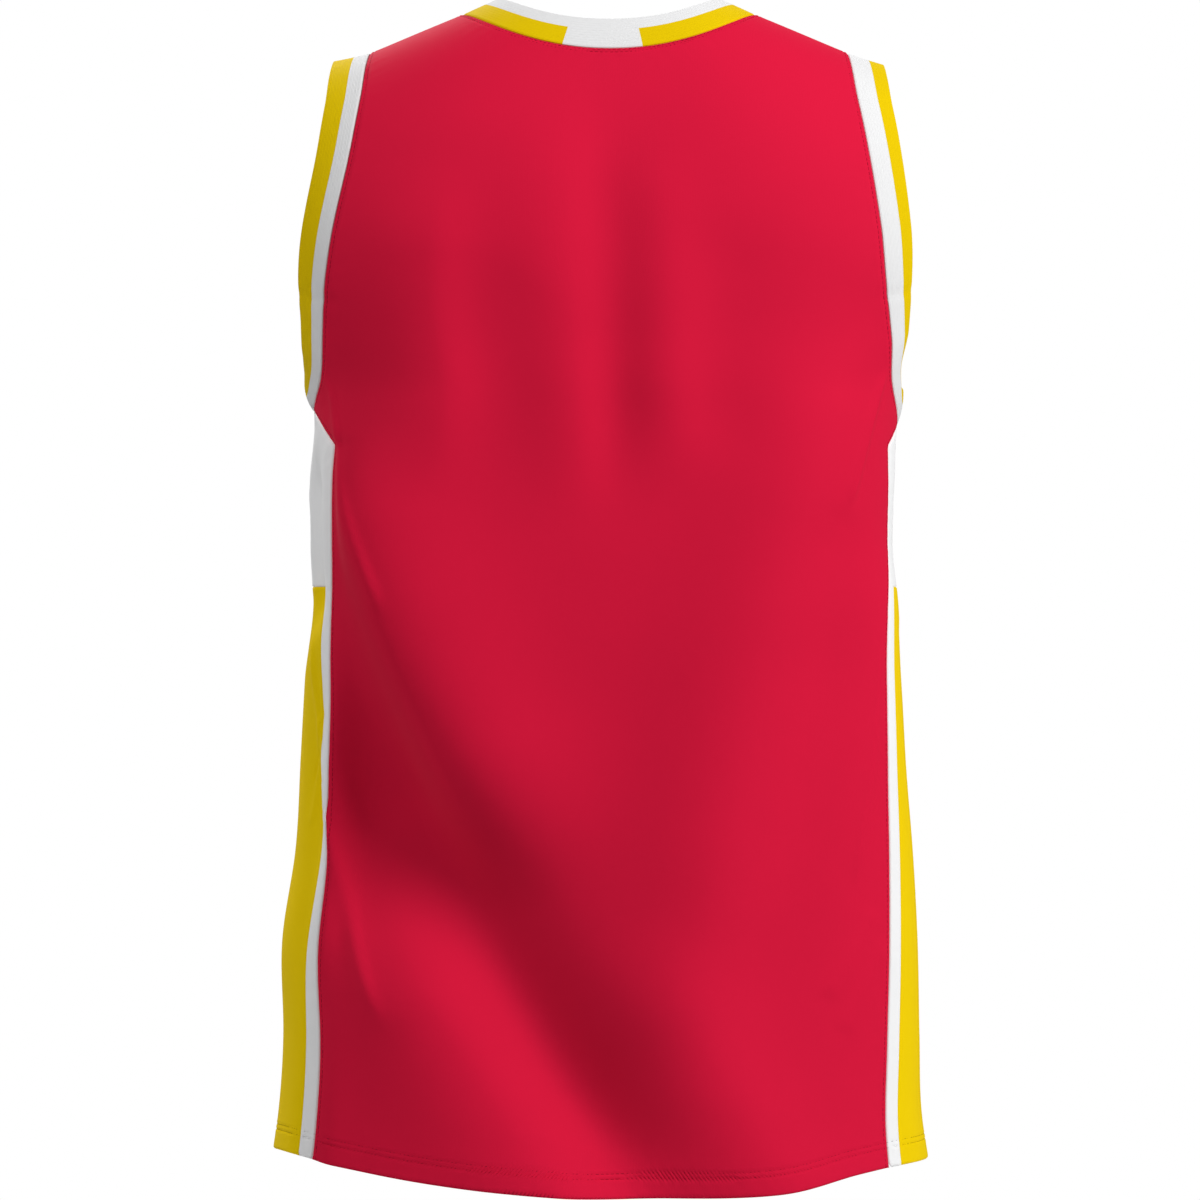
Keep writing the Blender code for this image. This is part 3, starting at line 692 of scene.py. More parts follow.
def line_between(start, end, height_at):
    """A line between two spots, at the height that goes with each girth."""
    girth = np.linspace(start[0], end[0], DENSE)
    line = spots_at(girth, height_at(girth))
    line[0], line[-1] = start, end
    return line


def hem_line(start, end):
    """The hem between two spots on it."""
    return line_between(start, end, hem_height)


def level_line(start, end):
    """A level line between two spots."""
    height = cloth_points(start[None])[0, 2]
    return line_between(start, end, lambda girth: np.full_like(girth, height))


def neckline(side):
    """From the left side of the neck to the right."""
    share = np.linspace(-1, 1, 2 * DENSE + 1)
    turn = -np.sin(share * math.pi / 2) * math.pi / 2
    x = NECK_MIDDLE_X + NECK_HALF_WIDTH * np.sin(turn)
    corner = shoulder_ridge(NECK_MIDDLE_X + np.copysign(NECK_HALF_WIDTH, turn))
    if side == BACK:
        height = mix(BACK_NECK_HEIGHT, corner, abs(np.sin(turn)) ** BACK_NECK_POWER)
    else:
        height = mix(corner, FRONT_NECK_HEIGHT, np.cos(turn))
    line = spots_at(girth_at(side, x, height), height)
    from_end = 1 - abs(turn) / (math.pi / 2)
    for end, half in ((0, share <= 0), (-1, share > 0)):
        line[half, 1] -= line[end, 1] * np.maximum(1 - from_end[half] / NECK_MEETS_RIDGE, 0) ** 2
    return line


def shoulder_seam(start, end):
    """The ridge between two spots on it."""
    girth = np.linspace(start[0], end[0], SHOULDER_POINTS)
    return np.stack((girth, np.zeros_like(girth)), axis=1)


def turned_back(line):
    """A line of spots one whole turn earlier."""
    return line - np.array((2 * math.pi, 0))


def panel_runs(side):
    """The edges of the back or the front, in order, each with its kind."""
    left_arm, right_arm = (armhole_seam(side, hand) for hand in (LEFT, RIGHT))
    left_seam, right_seam = (side_seam(side, hand, tip_height(hand)) for hand in (LEFT, RIGHT))
    if side == FRONT:
        right_arm, right_seam = turned_back(right_arm), turned_back(right_seam)
    neck = neckline(side)
    return [
        ("shoulder", shoulder_seam(left_arm[0], neck[0])),
        ("neck", neck),
        ("shoulder", shoulder_seam(neck[-1], right_arm[0])),
        ("armhole", right_arm),
        ("side_red", right_seam),
        ("hem", hem_line(right_seam[-1], left_seam[-1])),
        ("side_red", left_seam[::-1]),
        ("armhole", left_arm[::-1]),
    ]


def side_tip(hand):
    """The top edge of a side panel, from back to front."""
    return level_line(*(armhole_seam(side, hand)[-1] for side in (BACK, FRONT)))


def side_runs(hand):
    """The edges of a side panel, cut out for its insert, and those of the insert."""
    behind, ahead = (side_seam(side, hand, tip_height(hand)) for side in (BACK, FRONT))
    stripe_behind, stripe_ahead = (
        side_seam(side, hand, INSERT_TOP_HEIGHT, STRIPE_WIDTH) for side in (BACK, FRONT)
    )
    insert_top = level_line(stripe_behind[0], stripe_ahead[0])
    panel = [
        ("armhole", side_tip(hand)),
        ("side_white", ahead),
        ("hem", hem_line(ahead[-1], stripe_ahead[-1])),
        ("stripe", stripe_ahead[::-1]),
        ("insert_top", insert_top[::-1]),
        ("stripe", stripe_behind),
        ("hem", hem_line(stripe_behind[-1], behind[-1])),
        ("side_white", behind[::-1]),
    ]
    insert = [
        ("insert_top", insert_top),
        ("stripe", stripe_ahead),
        ("hem", hem_line(stripe_ahead[-1], stripe_behind[-1])),
        ("stripe", stripe_behind[::-1]),
    ]
    return panel, insert


# ---------------------------------------------------------------- cloth filled in from its edges


def turning_left(runs):
    """The runs in the order that keeps the piece on their left, evenly spaced."""
    runs = [(kind, even(line)) for kind, line in runs]
    x, y = unrolled(np.vstack([line[:-1] for _, line in runs])).T
    if (x * np.roll(y, -1) - y * np.roll(x, -1)).sum() < 0:
        runs = [(kind, line[::-1]) for kind, line in runs[::-1]]
    return runs


def drawn_in(edge, distance):
    """A closed outline moved inwards, mitred at its corners."""
    before, after = edge - np.roll(edge, 1, axis=0), np.roll(edge, -1, axis=0) - edge
    first, second = (unit(np.stack((-way[:, 1], way[:, 0]), axis=1)) for way in (before, after))
    share = distance / np.maximum(1 + (first * second).sum(1), SHARPEST_MITRE)
    return edge + (first + second) * share[:, None]


def scattered(edge, grain):
    """Places inside an outline, in staggered rows."""
    low, high = edge.min(axis=0), edge.max(axis=0)
    y = np.arange(low[1], high[1], grain * math.sqrt(3) / 2)[:, None]
    columns = np.arange(math.floor(low[0] / grain), math.ceil(high[0] / grain) + 1)
    x = (columns + np.arange(len(y))[:, None] % 2 / 2) * grain
    places = np.stack(np.broadcast_arrays(x, y), axis=2).reshape(-1, 2)
    return places[inside(places, edge)]


def tree_of(places):
    tree = KDTree(len(places))
    for number, (x, y) in enumerate(places):
        tree.insert((x, y, 0), number)
    tree.balance()
    return tree


def nearest(tree, places):
    """For each place, the number of the tree's nearest one, and how far off it is."""
    found = [tree.find((x, y, 0))[1:] for x, y in places]
    return np.array([number for number, _ in found]), np.array([distance for _, distance in found])


def spaced(places, least):
    """Which of the places to keep so that no two are nearer than that."""
    cells, kept = {}, []
    for number, (x, y) in enumerate(places):
        column, row = int(x // least), int(y // least)
        beside = (
            other
            for i in (column - 1, column, column + 1)
            for j in (row - 1, row, row + 1)
            for other in cells.get((i, j), ())
        )
        if all((x - a) ** 2 + (y - b) ** 2 >= least**2 for a, b in beside):
            cells.setdefault((column, row), []).append((x, y))
            kept.append(number)
    return np.array(kept)


def crease_rows():
    """Places, on the unrolled cloth, along each fine crease and close on both sides of it."""
    rows = []
    for start_girth, start_height, end_girth, end_height, bow, left, right, _ in CREASES:
        if max(left, right) > FINE_CREASE:
            continue
        along = chord(start_girth, start_height, end_girth, end_height)
        square = np.array((-along[1], along[0])) / math.hypot(*along)
        share = np.linspace(0, 1, round(math.hypot(*along) / SEAM_STEP))[:, None]
        for offset in CREASE_ROWS:
            width = left if offset < 0 else right
            places = along * share + square * (4 * bow * share * (1 - share) + offset * width)
            girth = math.radians(start_girth) + places[:, 0] / GIRTH_RADIUS
            for turn in (-2 * math.pi, 0, 2 * math.pi):
                rows.append(unrolled(spots_at(girth + turn, start_height + places[:, 1])))
    return np.vstack(rows)


def inside(places, edge):
    """Whether each place is inside an outline."""
    ends = np.roll(edge, -1, axis=0)
    within = np.zeros(len(places), bool)
    for start, end in zip(edge, ends):
        crosses = (start[1] > places[:, 1]) != (end[1] > places[:, 1])
        rise = end[1] - start[1] or 1.0
        within ^= crosses & (places[:, 0] < start[0] + (places[:, 1] - start[1]) * (end - start)[0] / rise)
    return within


def seam_wave(length):
    """An uneven wave along a seam."""
    turns = 2 * math.pi * length
    drift = WAVE_DRIFT * np.sin(turns / DRIFT_LENGTH)
    uneven = np.sin(turns / LONG_WAVE + drift) + SHORT_WAVE_SHARE * np.sin(turns / SHORT_WAVE - drift)
    return uneven / (1 + SHORT_WAVE_SHARE)


def laid_out(runs, grain, pucker):
    """A piece of cloth from the runs round it: its spots, how far each is lifted, and its triangles."""
    edge = drawn_in(unrolled(np.vstack([line[:-1] for _, line in runs])), SEAM_GAP / 2)
    edge_lifts = np.concatenate([np.full(len(line) - 1, EDGE_ROWS[kind][0][1]) for kind, line in runs])
    edge_tree = tree_of(edge)
    rows, lifts, depths = [], [], []
    for kind, line in runs:
        for distance, lift in EDGE_ROWS[kind][1:]:
            places = unrolled(inset(line, distance))
            rows.append(places)
            lifts.append(np.full(len(places), lift))
            depths.append(np.full(len(places), distance))
    rows, lifts, depths = np.vstack(rows), np.concatenate(lifts), np.concatenate(depths)
    clear = np.minimum(ROW_CLEARANCE * depths, MOST_CLEARANCE)
    keep = np.flatnonzero(inside(rows, edge) & (nearest(edge_tree, rows)[1] > clear))
    keep = keep[spaced(rows[keep], LEAST_APART)]
    rows, lifts = rows[keep], lifts[keep]

    band = np.array([EDGE_ROWS[kind][-1][0] for kind, line in runs for _ in line[1:]])
    creases = crease_rows()
    creases = creases[inside(creases, edge)]
    inner = scattered(edge, grain)
    if len(creases):
        inner = inner[nearest(tree_of(creases), inner)[1] > GRAIN_CLEARANCE * grain]
    inner = np.vstack([inner, creases])
    number, distance = nearest(edge_tree, inner)
    inner = inner[distance > band[number] + GRAIN_CLEARANCE * SEAM_STEP]
    inner = inner[spaced(inner, LEAST_APART)]

    places = np.vstack([edge, rows, inner])
    lift = np.concatenate([edge_lifts, lifts, np.zeros(len(inner))])
    number, distance = nearest(edge_tree, places)
    kinds = np.array([kind in PUCKERED for kind, line in runs for _ in line[1:]])
    length = lengths_along(edge)
    near = kinds[number] & (distance < PUCKER_LIMIT)
    reach = distance / PUCKER_REACH
    lift += np.where(near, pucker * seam_wave(length[number]) * reach * np.exp(1 - reach), 0)

    flat = [Vector(place) for place in places]
    outline = [list(range(len(edge)))]
    found, _, faces, sources, _, _ = delaunay_2d_cdt(flat, [], outline, ONLY_INSIDE, MERGE_WITHIN)
    source = np.array([numbers[0] if numbers else -1 for numbers in sources])
    places = np.array([tuple(place) for place in found])
    faces = np.array([tuple(face) for face in faces])
    used = np.unique(faces)
    renumber = np.full(len(places), -1)
    renumber[used] = np.arange(len(used))
    lift = np.where(source >= 0, lift[source], 0.0)
    return rolled(places[used]), lift[used], renumber[faces]


# ---------------------------------------------------------------- meshes


def make_piece(name, points, faces, flat, material):
    """A mesh object of the jersey, with its places on the unrolled cloth as its map."""
    data = bpy.data.meshes.new(name)
    data.from_pydata(points.tolist(), [], faces)
    corners = np.empty(len(data.loops), np.int32)
    data.loops.foreach_get("vertex_index", corners)
    layer = data.uv_layers.new(name=MAP_NAME)
    layer.data.foreach_set("uv", flat[corners].astype(np.float32).ravel())
    data.shade_smooth()
    data.set_sharp_from_angle(angle=SHARP_ANGLE)
    data.materials.append(material)
    piece = bpy.data.objects.new(name, data)
    bpy.context.scene.collection.objects.link(piece)
    return piece


def shell(name, outer, inner, faces, flat, material):
    """A closed wall of cloth: its outer face, its inner face and the rim between them."""
    count = len(outer)
    edges = np.stack((faces, np.roll(faces, -1, axis=1)), axis=2).reshape(-1, 2)
    ordered = np.sort(edges, axis=1)
    _, first, uses = np.unique(ordered[:, 0] * count + ordered[:, 1], return_index=True, return_counts=True)
    start, end = edges[first[uses == 1]].T
    rim = np.stack((end, start, start + count, end + count), axis=1)
    all_faces = faces.tolist() + (faces[:, ::-1] + count).tolist() + rim.tolist()
    return make_piece(name, np.vstack([outer, inner]), all_faces, np.vstack([flat, flat]), material)


def settle(piece, node=None):
    """Puts a piece on the jersey's one body, and hides the packed model's part for the node it stands for."""
    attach(piece, "root")
    if node:
        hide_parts(node)
    return piece


def cloth_piece(node, runs, colour):
    """One cut piece of the panels' knit, with its stitching."""
    cloth = bpy.context.scene.jersey_cloth
    slot = colour + "_knit"
    runs = turning_left(runs)
    spots, lift, faces = laid_out(runs, cloth.grain, cloth.pucker)
    points, normals = cloth_points(spots), normals_at(spots)
    outer = points + normals * lift[:, None]
    turned_up = points[:, 2] < hem_height(spots[:, 0]) + HEM_TURN
    wall = np.where(turned_up, cloth.hem_wall, cloth.wall)
    inner = points - normals * wall[:, None]
    piece = shell(node + "_cloth", outer, inner, faces, unrolled(spots), fabric(slot))
    rows = [
        (inset(line, distance), dict(EDGE_ROWS[kind])[distance])
        for kind, line in runs
        for distance in STITCH_ROWS.get(kind, ())
    ]
    # The thread is its cloth's colour, darkened by painted shade for the groove it lies in
    stitches = stitching(node + "_stitching", rows, fabric(colour + "_thread"))
    return settle(piece, node), [settle(stitches)]


def stitching(name, rows, material):
    """Rows of stitches along lines of spots, as one mesh."""
    stitch = bpy.context.scene.jersey_stitch
    radius = stitch.thread / 2
    angles = np.arange(STITCH_SIDES) * 2 * math.pi / STITCH_SIDES
    ring_share, ring_size, ring_height = np.array(STITCH_RINGS).T
    bodies = []
    for line, lift in rows:
        points, normals = cloth_points(line), normals_at(line)
        points = points + normals * lift
        lengths = lengths_along(points)
        pitch = stitch.length + stitch.gap
        count = int(lengths[-1] / pitch)
        starts = np.arange(count) * lengths[-1] / count + stitch.gap / 2
        wanted = (starts[:, None] + ring_share * stitch.length).ravel()
        middle, normal = (at_lengths(values, lengths, wanted) for values in (points, normals))
        normal = unit(normal)
        middle = middle.reshape(count, len(ring_share), 3)
        normal = normal.reshape(middle.shape)
        way = unit(middle[:, -1] - middle[:, 0])[:, None]
        aside = unit(np.cross(way, normal))
        middle = middle + normal * (ring_height * radius)[:, None]
        size = (ring_size * radius)[:, None, None]
        ring = middle[:, :, None] + size * (
            aside[:, :, None] * np.cos(angles)[:, None] + normal[:, :, None] * np.sin(angles)[:, None]
        )
        bodies.append(ring.reshape(count, -1, 3))
    bodies = np.concatenate(bodies)
    sides = np.arange(STITCH_SIDES)
    beside = (sides + 1) % STITCH_SIDES
    last = (len(STITCH_RINGS) - 1) * STITCH_SIDES
    pattern = []
    for low in range(0, last, STITCH_SIDES):
        high = low + STITCH_SIDES
        pattern += np.stack((low + sides, high + sides, high + beside, low + beside), axis=1).tolist()
    pattern += [sides.tolist(), (last + sides[::-1]).tolist()]
    starts = range(0, len(bodies) * bodies.shape[1], bodies.shape[1])
    faces = [[corner + start for corner in face] for start in starts for face in pattern]
    points = bodies.reshape(-1, 3)
    return make_piece(name, points, faces, points[:, [0, 2]], material)


# ---------------------------------------------------------------- bands


def smoothed(vectors, points, reach):
    """Unit vectors round a closed line of points, each evened out with its neighbours."""
    step = np.linalg.norm(points - np.roll(points, -1, axis=0), axis=1).mean()
    count = math.ceil(TAIL * reach / step)
    shifts = np.arange(-count, count + 1)
    weights = np.exp(-((shifts * step / reach) ** 2) / 2)
    return unit(sum(weight * np.roll(vectors, shift, axis=0) for weight, shift in zip(weights, shifts)))


def band_frames(line, turn):
    """A band's seam, and at each of its points the ways across the band and out of it."""
    seam = cloth_points(line)
    way = smoothed(np.roll(seam, -1, axis=0) - np.roll(seam, 1, axis=0), seam, BAND_SMOOTHING / 2)
    upright = smoothed(normals_at(line), seam, BAND_SMOOTHING)
    across = unit(np.cross(way, upright) * turn)
    return seam, across, np.cross(across, way) * turn


def band_strips(low, high, sewn):
    """Across a band's sewn or free part: how far each strip is from the seam, and how deep its faces lie."""
    band = bpy.context.scene.jersey_band
    radius = band.wall * FREE_EDGE_ROUNDING
    start, end = (low + ROLL_WIDTH, high) if sewn else (low, high - radius)
    count = max(round((end - start) / band.rib * STRIPS_PER_RIB), STRIPS_PER_RIB)
    distance = np.linspace(start, end, count + 1)
    ribs = band.rib_depth * (0.5 - 0.5 * np.cos(2 * math.pi * distance / band.rib)) ** 2
    ribbed = (distance, ribs, band.wall - ribs)
    if sewn:
        share = np.array(ROLL_SHARES)
        roll = (low + ROLL_WIDTH * share, ROLL_DEPTH * (1 - share) ** 2, np.full(len(share), band.wall))
        parts = (roll, ribbed)
    else:
        angles = np.linspace(FREE_EDGE_START, 1, FREE_EDGE_STRIPS) * math.pi / 2
        dip = radius * (1 - np.cos(angles))
        parts = (ribbed, (end + radius * np.sin(angles), dip, band.wall - dip))
    return [np.concatenate(values) for values in zip(*parts)]


def band_faces(frames, leans, strips):
    """The outer and inner points of a band, by strip and station."""
    seam, across, normal = frames
    distance, outer, inner = strips
    first, last = np.radians(leans).T
    curl = last - first
    curl = np.where(abs(curl) > LEAST_CURL, curl, LEAST_CURL)
    slope = first + curl * (distance / BAND_WIDTH)[:, None]
    ahead = (np.sin(slope) - np.sin(first)) / curl * BAND_WIDTH
    lift = (np.cos(first) - np.cos(slope)) / curl * BAND_WIDTH
    points = seam + across * ahead[..., None] + normal * lift[..., None]
    out = normal * np.cos(slope)[..., None] - across * np.sin(slope)[..., None]
    return points - out * outer[:, None, None], points - out * inner[:, None, None]


def band_piece(node, slot, frames, leans, strips, keep, flip=False):
    """A closed wall of rib round a band, of the cells that are kept, by strip and station."""
    outer, inner = band_faces(frames, leans, strips)
    stations = outer.shape[1]
    strip, station = np.nonzero(keep)
    low, high = strip * stations, (strip + 1) * stations
    beside = (station + 1) % stations
    cells = np.stack((low + station, low + beside, high + beside, high + station), axis=1)
    if flip:
        cells = cells[:, ::-1]
    used = np.unique(cells)
    renumber = np.full(len(outer) * stations, -1)
    renumber[used] = np.arange(len(used))
    flat = np.stack(np.broadcast_arrays(strips[0][:, None], lengths_along(frames[0])[None, :]), axis=2)
    outer, inner, flat = (values.reshape(-1, values.shape[-1])[used] for values in (outer, inner, flat))
    return settle(shell(node + "_rib", outer, inner, renumber[cells], flat, fabric(slot)), node)


def armhole_line(hand):
    """An armhole's closed seam, and the share of the way down to the side panel at each of its spots."""
    lines, shares = [], []
    for side in (BACK, FRONT):
        dense = armhole_seam(side, hand)
        lengths = lengths_along(cloth_points(dense))
        lines.append(even(dense))
        wanted = np.linspace(0, lengths[-1], len(lines[-1]))
        shares.append(np.interp(wanted, lengths, np.linspace(0, 1, DENSE) ** 2))
    under = even(side_tip(hand))[1:-1]
    line = np.vstack([lines[0], under, lines[1][:0:-1]])
    return line, np.concatenate((shares[0], np.ones(len(under)), shares[1][:0:-1]))


def make_armhole(hand):
    """An armhole's band: its white part and its yellow edge."""
    line, share = armhole_line(hand)
    leans = np.stack([read(ARM_LEAN, share, 1 + 2 * hand + edge) for edge in (0, 1)], axis=1)
    frames = band_frames(line, 1 if hand == LEFT else -1)
    border = BAND_WIDTH * ARM_WHITE_SHARES[hand]
    made = []
    for word, slot, low, high, sewn in (
        ("armhole_band_", "white_rib", SEAM_GAP, border, True),
        ("armhole_edge_", "yellow_rib", border + SEAM_GAP / 2, BAND_WIDTH, False),
    ):
        strips = band_strips(low, high, sewn)
        keep = np.ones((len(strips[0]) - 1, len(line)), bool)
        made.append(band_piece(word + HANDS[hand], slot, frames, leans, strips, keep, hand == LEFT))
    return made


def neck_station_line():
    """The neck's closed seam, from the left shoulder round behind, and where the block begins and ends."""
    behind, ahead = neckline(BACK), neckline(FRONT)
    x = cloth_points(behind)[:, 0]
    cuts = [0, *(int(np.argmin(abs(x - edge))) for edge in (BLOCK_LEFT_X, BLOCK_RIGHT_X)), len(behind) - 1]
    parts = [even(behind[start : end + 1]) for start, end in zip(cuts, cuts[1:])]
    line = np.vstack([parts[0], parts[1][1:], parts[2][1:], even(ahead)[-2:0:-1]])
    first = len(parts[0]) - 1
    return line, first, first + len(parts[1]) - 1, len(np.vstack(parts)) - 2


def make_neck():
    """The neck's band: a yellow stripe along the seam, broken by the white block, below a white edge."""
    line, block_start, block_end, behind = neck_station_line()
    frames = band_frames(line, -1)
    x = frames[0][:, 0]
    middle = 1 - np.clip(abs(x - NECK_MIDDLE_X) / NECK_HALF_WIDTH, 0, 1) ** 2
    towards = np.where((np.arange(len(line)) < behind)[:, None], NECK_LEAN_BACK, NECK_LEAN_FRONT)
    leans = mix(np.array(NECK_LEAN_SIDE), towards, middle[:, None])
    border = BAND_WIDTH * NECK_YELLOW_SHARE
    low_strips = band_strips(SEAM_GAP, border, True)
    high_strips = band_strips(border + SEAM_GAP / 2, BAND_WIDTH, False)
    white_strips = [np.concatenate((low, high[1:])) for low, high in zip(low_strips, high_strips)]
    in_block = np.zeros(len(line), bool)
    in_block[block_start:block_end] = True
    yellow_cells = np.tile(~in_block, (len(low_strips[0]) - 1, 1))
    white_cells = np.ones((len(white_strips[0]) - 1, len(line)), bool)
    white_cells[: len(yellow_cells)] = in_block
    return (
        band_piece("neck_stripe", "yellow_rib", frames, leans, low_strips, yellow_cells),
        band_piece("neck_band", "white_rib", frames, leans, white_strips, white_cells),
    )


# ---------------------------------------------------------------- materials

# The smooth knit and the rib: the width of a column of loops, the length of a loop, how far a loop dips, and
# how much the knit's loops lean
KNIT_WALE = 0.00095
KNIT_COURSE = 0.00078
KNIT_DIP = 0.25
LOOP_LEAN = 0.9
RIB_WALE = 0.00104
RIB_COURSE = 0.00085
RIB_DIP = 0.2

# Uneven patches, the fuzz on the yarn and the twist of a thread, each as a noise's scale and detail
PATCHES = (26.0, 3.0)
FUZZ = (900.0, 2.0)
TWIST = (1600.0, 1.0)
FUZZ_SHARE = 0.25

# The share of its colour that is left under the painted shade of the darkest hollow, and the faint gloss of
# the yarn
DARKEST_PAINTED_SHADE = 0.55
SPECULAR = 0.02
SHEEN = 0.02
SHEEN_ROUGHNESS = 0.45


def maths(tree, operation, *values):
    """A Math node's result."""
    node = tree.nodes.new("ShaderNodeMath")
    node.operation = operation
    for socket, value in zip(node.inputs, values):
        if isinstance(value, (int, float)):
            socket.default_value = value
        else:
            tree.links.new(value, socket)
    return node.outputs[0]


def noise(tree, scale, detail):
    """Uneven values from 0 to 1 over the jersey."""
    place = tree.nodes.new("ShaderNodeTexCoord")
    texture = tree.nodes.new("ShaderNodeTexNoise")
    texture.inputs["Scale"].default_value = scale
    texture.inputs["Detail"].default_value = detail
    tree.links.new(place.outputs["Object"], texture.inputs["Vector"])
    return texture.outputs["Fac"]


def column_and_way(tree, wale):
    """How far a place is from the side of its column of loops, and how far along the column it is."""
    place = tree.nodes.new("ShaderNodeUVMap")
    place.uv_map = MAP_NAME
    parts = tree.nodes.new("ShaderNodeSeparateXYZ")
    tree.links.new(place.outputs["UV"], parts.inputs["Vector"])
    column = maths(tree, "PINGPONG", maths(tree, "DIVIDE", parts.outputs["X"], wale), 0.5)
    return column, parts.outputs["Y"]


def looped(tree, column, angle, dip):
    """A ridge along each column that rises and falls with its loops."""
    loop = maths(tree, "SINE", angle)
    ridge = maths(tree, "SINE", maths(tree, "MULTIPLY", column, math.pi))
    return maths(tree, "MULTIPLY", ridge, maths(tree, "MULTIPLY_ADD", loop, dip, 1 - dip))


def knit_height(tree):
    """A smooth jersey knit: columns of small leaning loops."""
    column, down = column_and_way(tree, KNIT_WALE)
    lean = maths(tree, "MULTIPLY", column, LOOP_LEAN)
    row = maths(tree, "ADD", maths(tree, "DIVIDE", down, KNIT_COURSE), lean)
    return looped(tree, column, maths(tree, "MULTIPLY", row, 2 * math.pi), KNIT_DIP)


def rib_height(tree):
    """A denser knit whose lines run along the band."""
    column, along = column_and_way(tree, RIB_WALE)
    return looped(tree, column, maths(tree, "MULTIPLY", along, 2 * math.pi / RIB_COURSE), RIB_DIP)


def thread_height(tree):
    """A twisted sewing thread."""
    return noise(tree, *TWIST)


# Each kind of fabric: its relief, the share of its cloth's colour that it keeps under painted shade (the
# rib's shade among its ribs, the thread's shade in its groove), its roughness, how much painted shade darkens
# its hollows and how much its patches darken it, and how deep and how strong its relief is
FABRICS = {
    "knit": (knit_height, 1.0, 0.72, 0.10, 0.08, 0.00010, 0.25),
    "rib": (rib_height, 0.88, 0.76, 0.16, 0.08, 0.00025, 0.5),
    "thread": (thread_height, 0.45, 0.65, 0.35, 0.10, 0.0001, 0.4),
}


def make_fabric(name, colour, kind):
    """A material with the colour and the relief of a fabric, both uneven all over, its colour darkened by
    painted shade in the hollows of its relief.
    """
    relief, painted_shade_share, roughness, hollow_painted_shade, mottle, depth, strength = FABRICS[kind]
    material = bpy.data.materials.new(name)
    material.use_nodes = True
    tree = material.node_tree
    shader = tree.nodes["Principled BSDF"]
    shader.inputs["Roughness"].default_value = roughness
    shader.inputs["Specular IOR Level"].default_value = SPECULAR
    shader.inputs["Sheen Weight"].default_value = SHEEN
    shader.inputs["Sheen Roughness"].default_value = SHEEN_ROUGHNESS

    height = relief(tree)
    # The hollows of the relief, where painted shade darkens the colour
    low = maths(tree, "SUBTRACT", 1.0, height)
    patches = maths(tree, "MULTIPLY", noise(tree, *PATCHES), mottle)
    blend = tree.nodes.new("ShaderNodeMix")
    blend.data_type = "RGBA"
    # The rib and the thread are darkened as a whole by painted shade: the rib's shade among its ribs, the
    # thread's shade in the groove it lies in
    colour = tuple(value * painted_shade_share for value in colour)
    blend.inputs["A"].default_value = (*colour, 1)
    # The darkest colour, that of the painted shade in the deepest hollow
    blend.inputs["B"].default_value = (*(value * DARKEST_PAINTED_SHADE for value in colour), 1)
    # Painted shade in the hollows, together with uneven patches of tone
    painted_shade_and_patches = maths(tree, "ADD", maths(tree, "MULTIPLY", low, hollow_painted_shade), patches)
    tree.links.new(painted_shade_and_patches, blend.inputs["Factor"])
    tree.links.new(blend.outputs["Result"], shader.inputs["Base Color"])

    bump = tree.nodes.new("ShaderNodeBump")
    bump.inputs["Strength"].default_value = strength
    bump.inputs["Distance"].default_value = depth
    fuzz = maths(tree, "MULTIPLY", noise(tree, *FUZZ), FUZZ_SHARE)
    tree.links.new(maths(tree, "ADD", height, fuzz), bump.inputs["Height"])
    tree.links.new(bump.outputs["Normal"], shader.inputs["Normal"])
    return material


def fabric(finish):
    """The material of a finish such as red_knit, made the first time that it is asked for."""
    colour, kind = finish.split("_")
    name = "jersey_" + finish
    shade = getattr(bpy.context.scene.jersey_colour, colour)
    return bpy.data.materials.get(name) or make_fabric(name, shade, kind)


# ---------------------------------------------------------------- the stage

# Each lamp's name, the setting that holds its power, and its place
LAMPS = (
    ("key_right", "key", (-2.50, 1.65, 0.98)),
    ("high_left", "high", (1.66, 1.66, 1.92)),
    ("side_left", "side", (3.22, -0.33, 0.26)),
    ("front", "front", (0.97, -2.13, 1.66)),
)
LAMP_SIZE = 1.4
LAMP_TARGET = (0, 0, -0.40)
WHITE_LIGHT = (1, 1, 1, 1)
FLOOR_COLOUR = (0.9, 0.9, 0.9, 1)
FLOOR_ROUGHNESS = 0.9
FLOOR_SIDES = 128


def make_floor(stage):
    bpy.ops.mesh.primitive_circle_add(
        vertices=FLOOR_SIDES, radius=stage.floor_radius, fill_type="NGON", location=(0, 0, stage.floor_height)
    )
    floor = bpy.context.object
    floor.name = "floor"
    material = bpy.data.materials.new("pale_floor")
    material.use_nodes = True
    shader = material.node_tree.nodes["Principled BSDF"]
    shader.inputs["Base Color"].default_value = FLOOR_COLOUR
    shader.inputs["Roughness"].default_value = FLOOR_ROUGHNESS
    floor.data.materials.append(material)


def make_world(stage):
    """Even light from all round, on a white background."""
    world = bpy.data.worlds.new("studio")
    bpy.context.scene.world = world
    world.use_nodes = True
    tree = world.node_tree
    around, seen = tree.nodes["Background"], tree.nodes.new("ShaderNodeBackground")
    for background, strength in ((around, stage.around), (seen, 1.0)):
        background.inputs["Color"].default_value = WHITE_LIGHT
        background.inputs["Strength"].default_value = strength
    path = tree.nodes.new("ShaderNodeLightPath")
    blend = tree.nodes.new("ShaderNodeMixShader")
    tree.links.new(path.outputs["Is Camera Ray"], blend.inputs["Fac"])
    tree.links.new(around.outputs["Background"], blend.inputs[1])
    tree.links.new(seen.outputs["Background"], blend.inputs[2])
    tree.links.new(blend.outputs["Shader"], tree.nodes["World Output"].inputs["Surface"])
    bpy.context.scene.view_settings.view_transform = "Standard"


def aim(thing, place, target):
    thing.location = place
    thing.rotation_euler = (Vector(target) - Vector(place)).to_track_quat("-Z", "Y").to_euler()


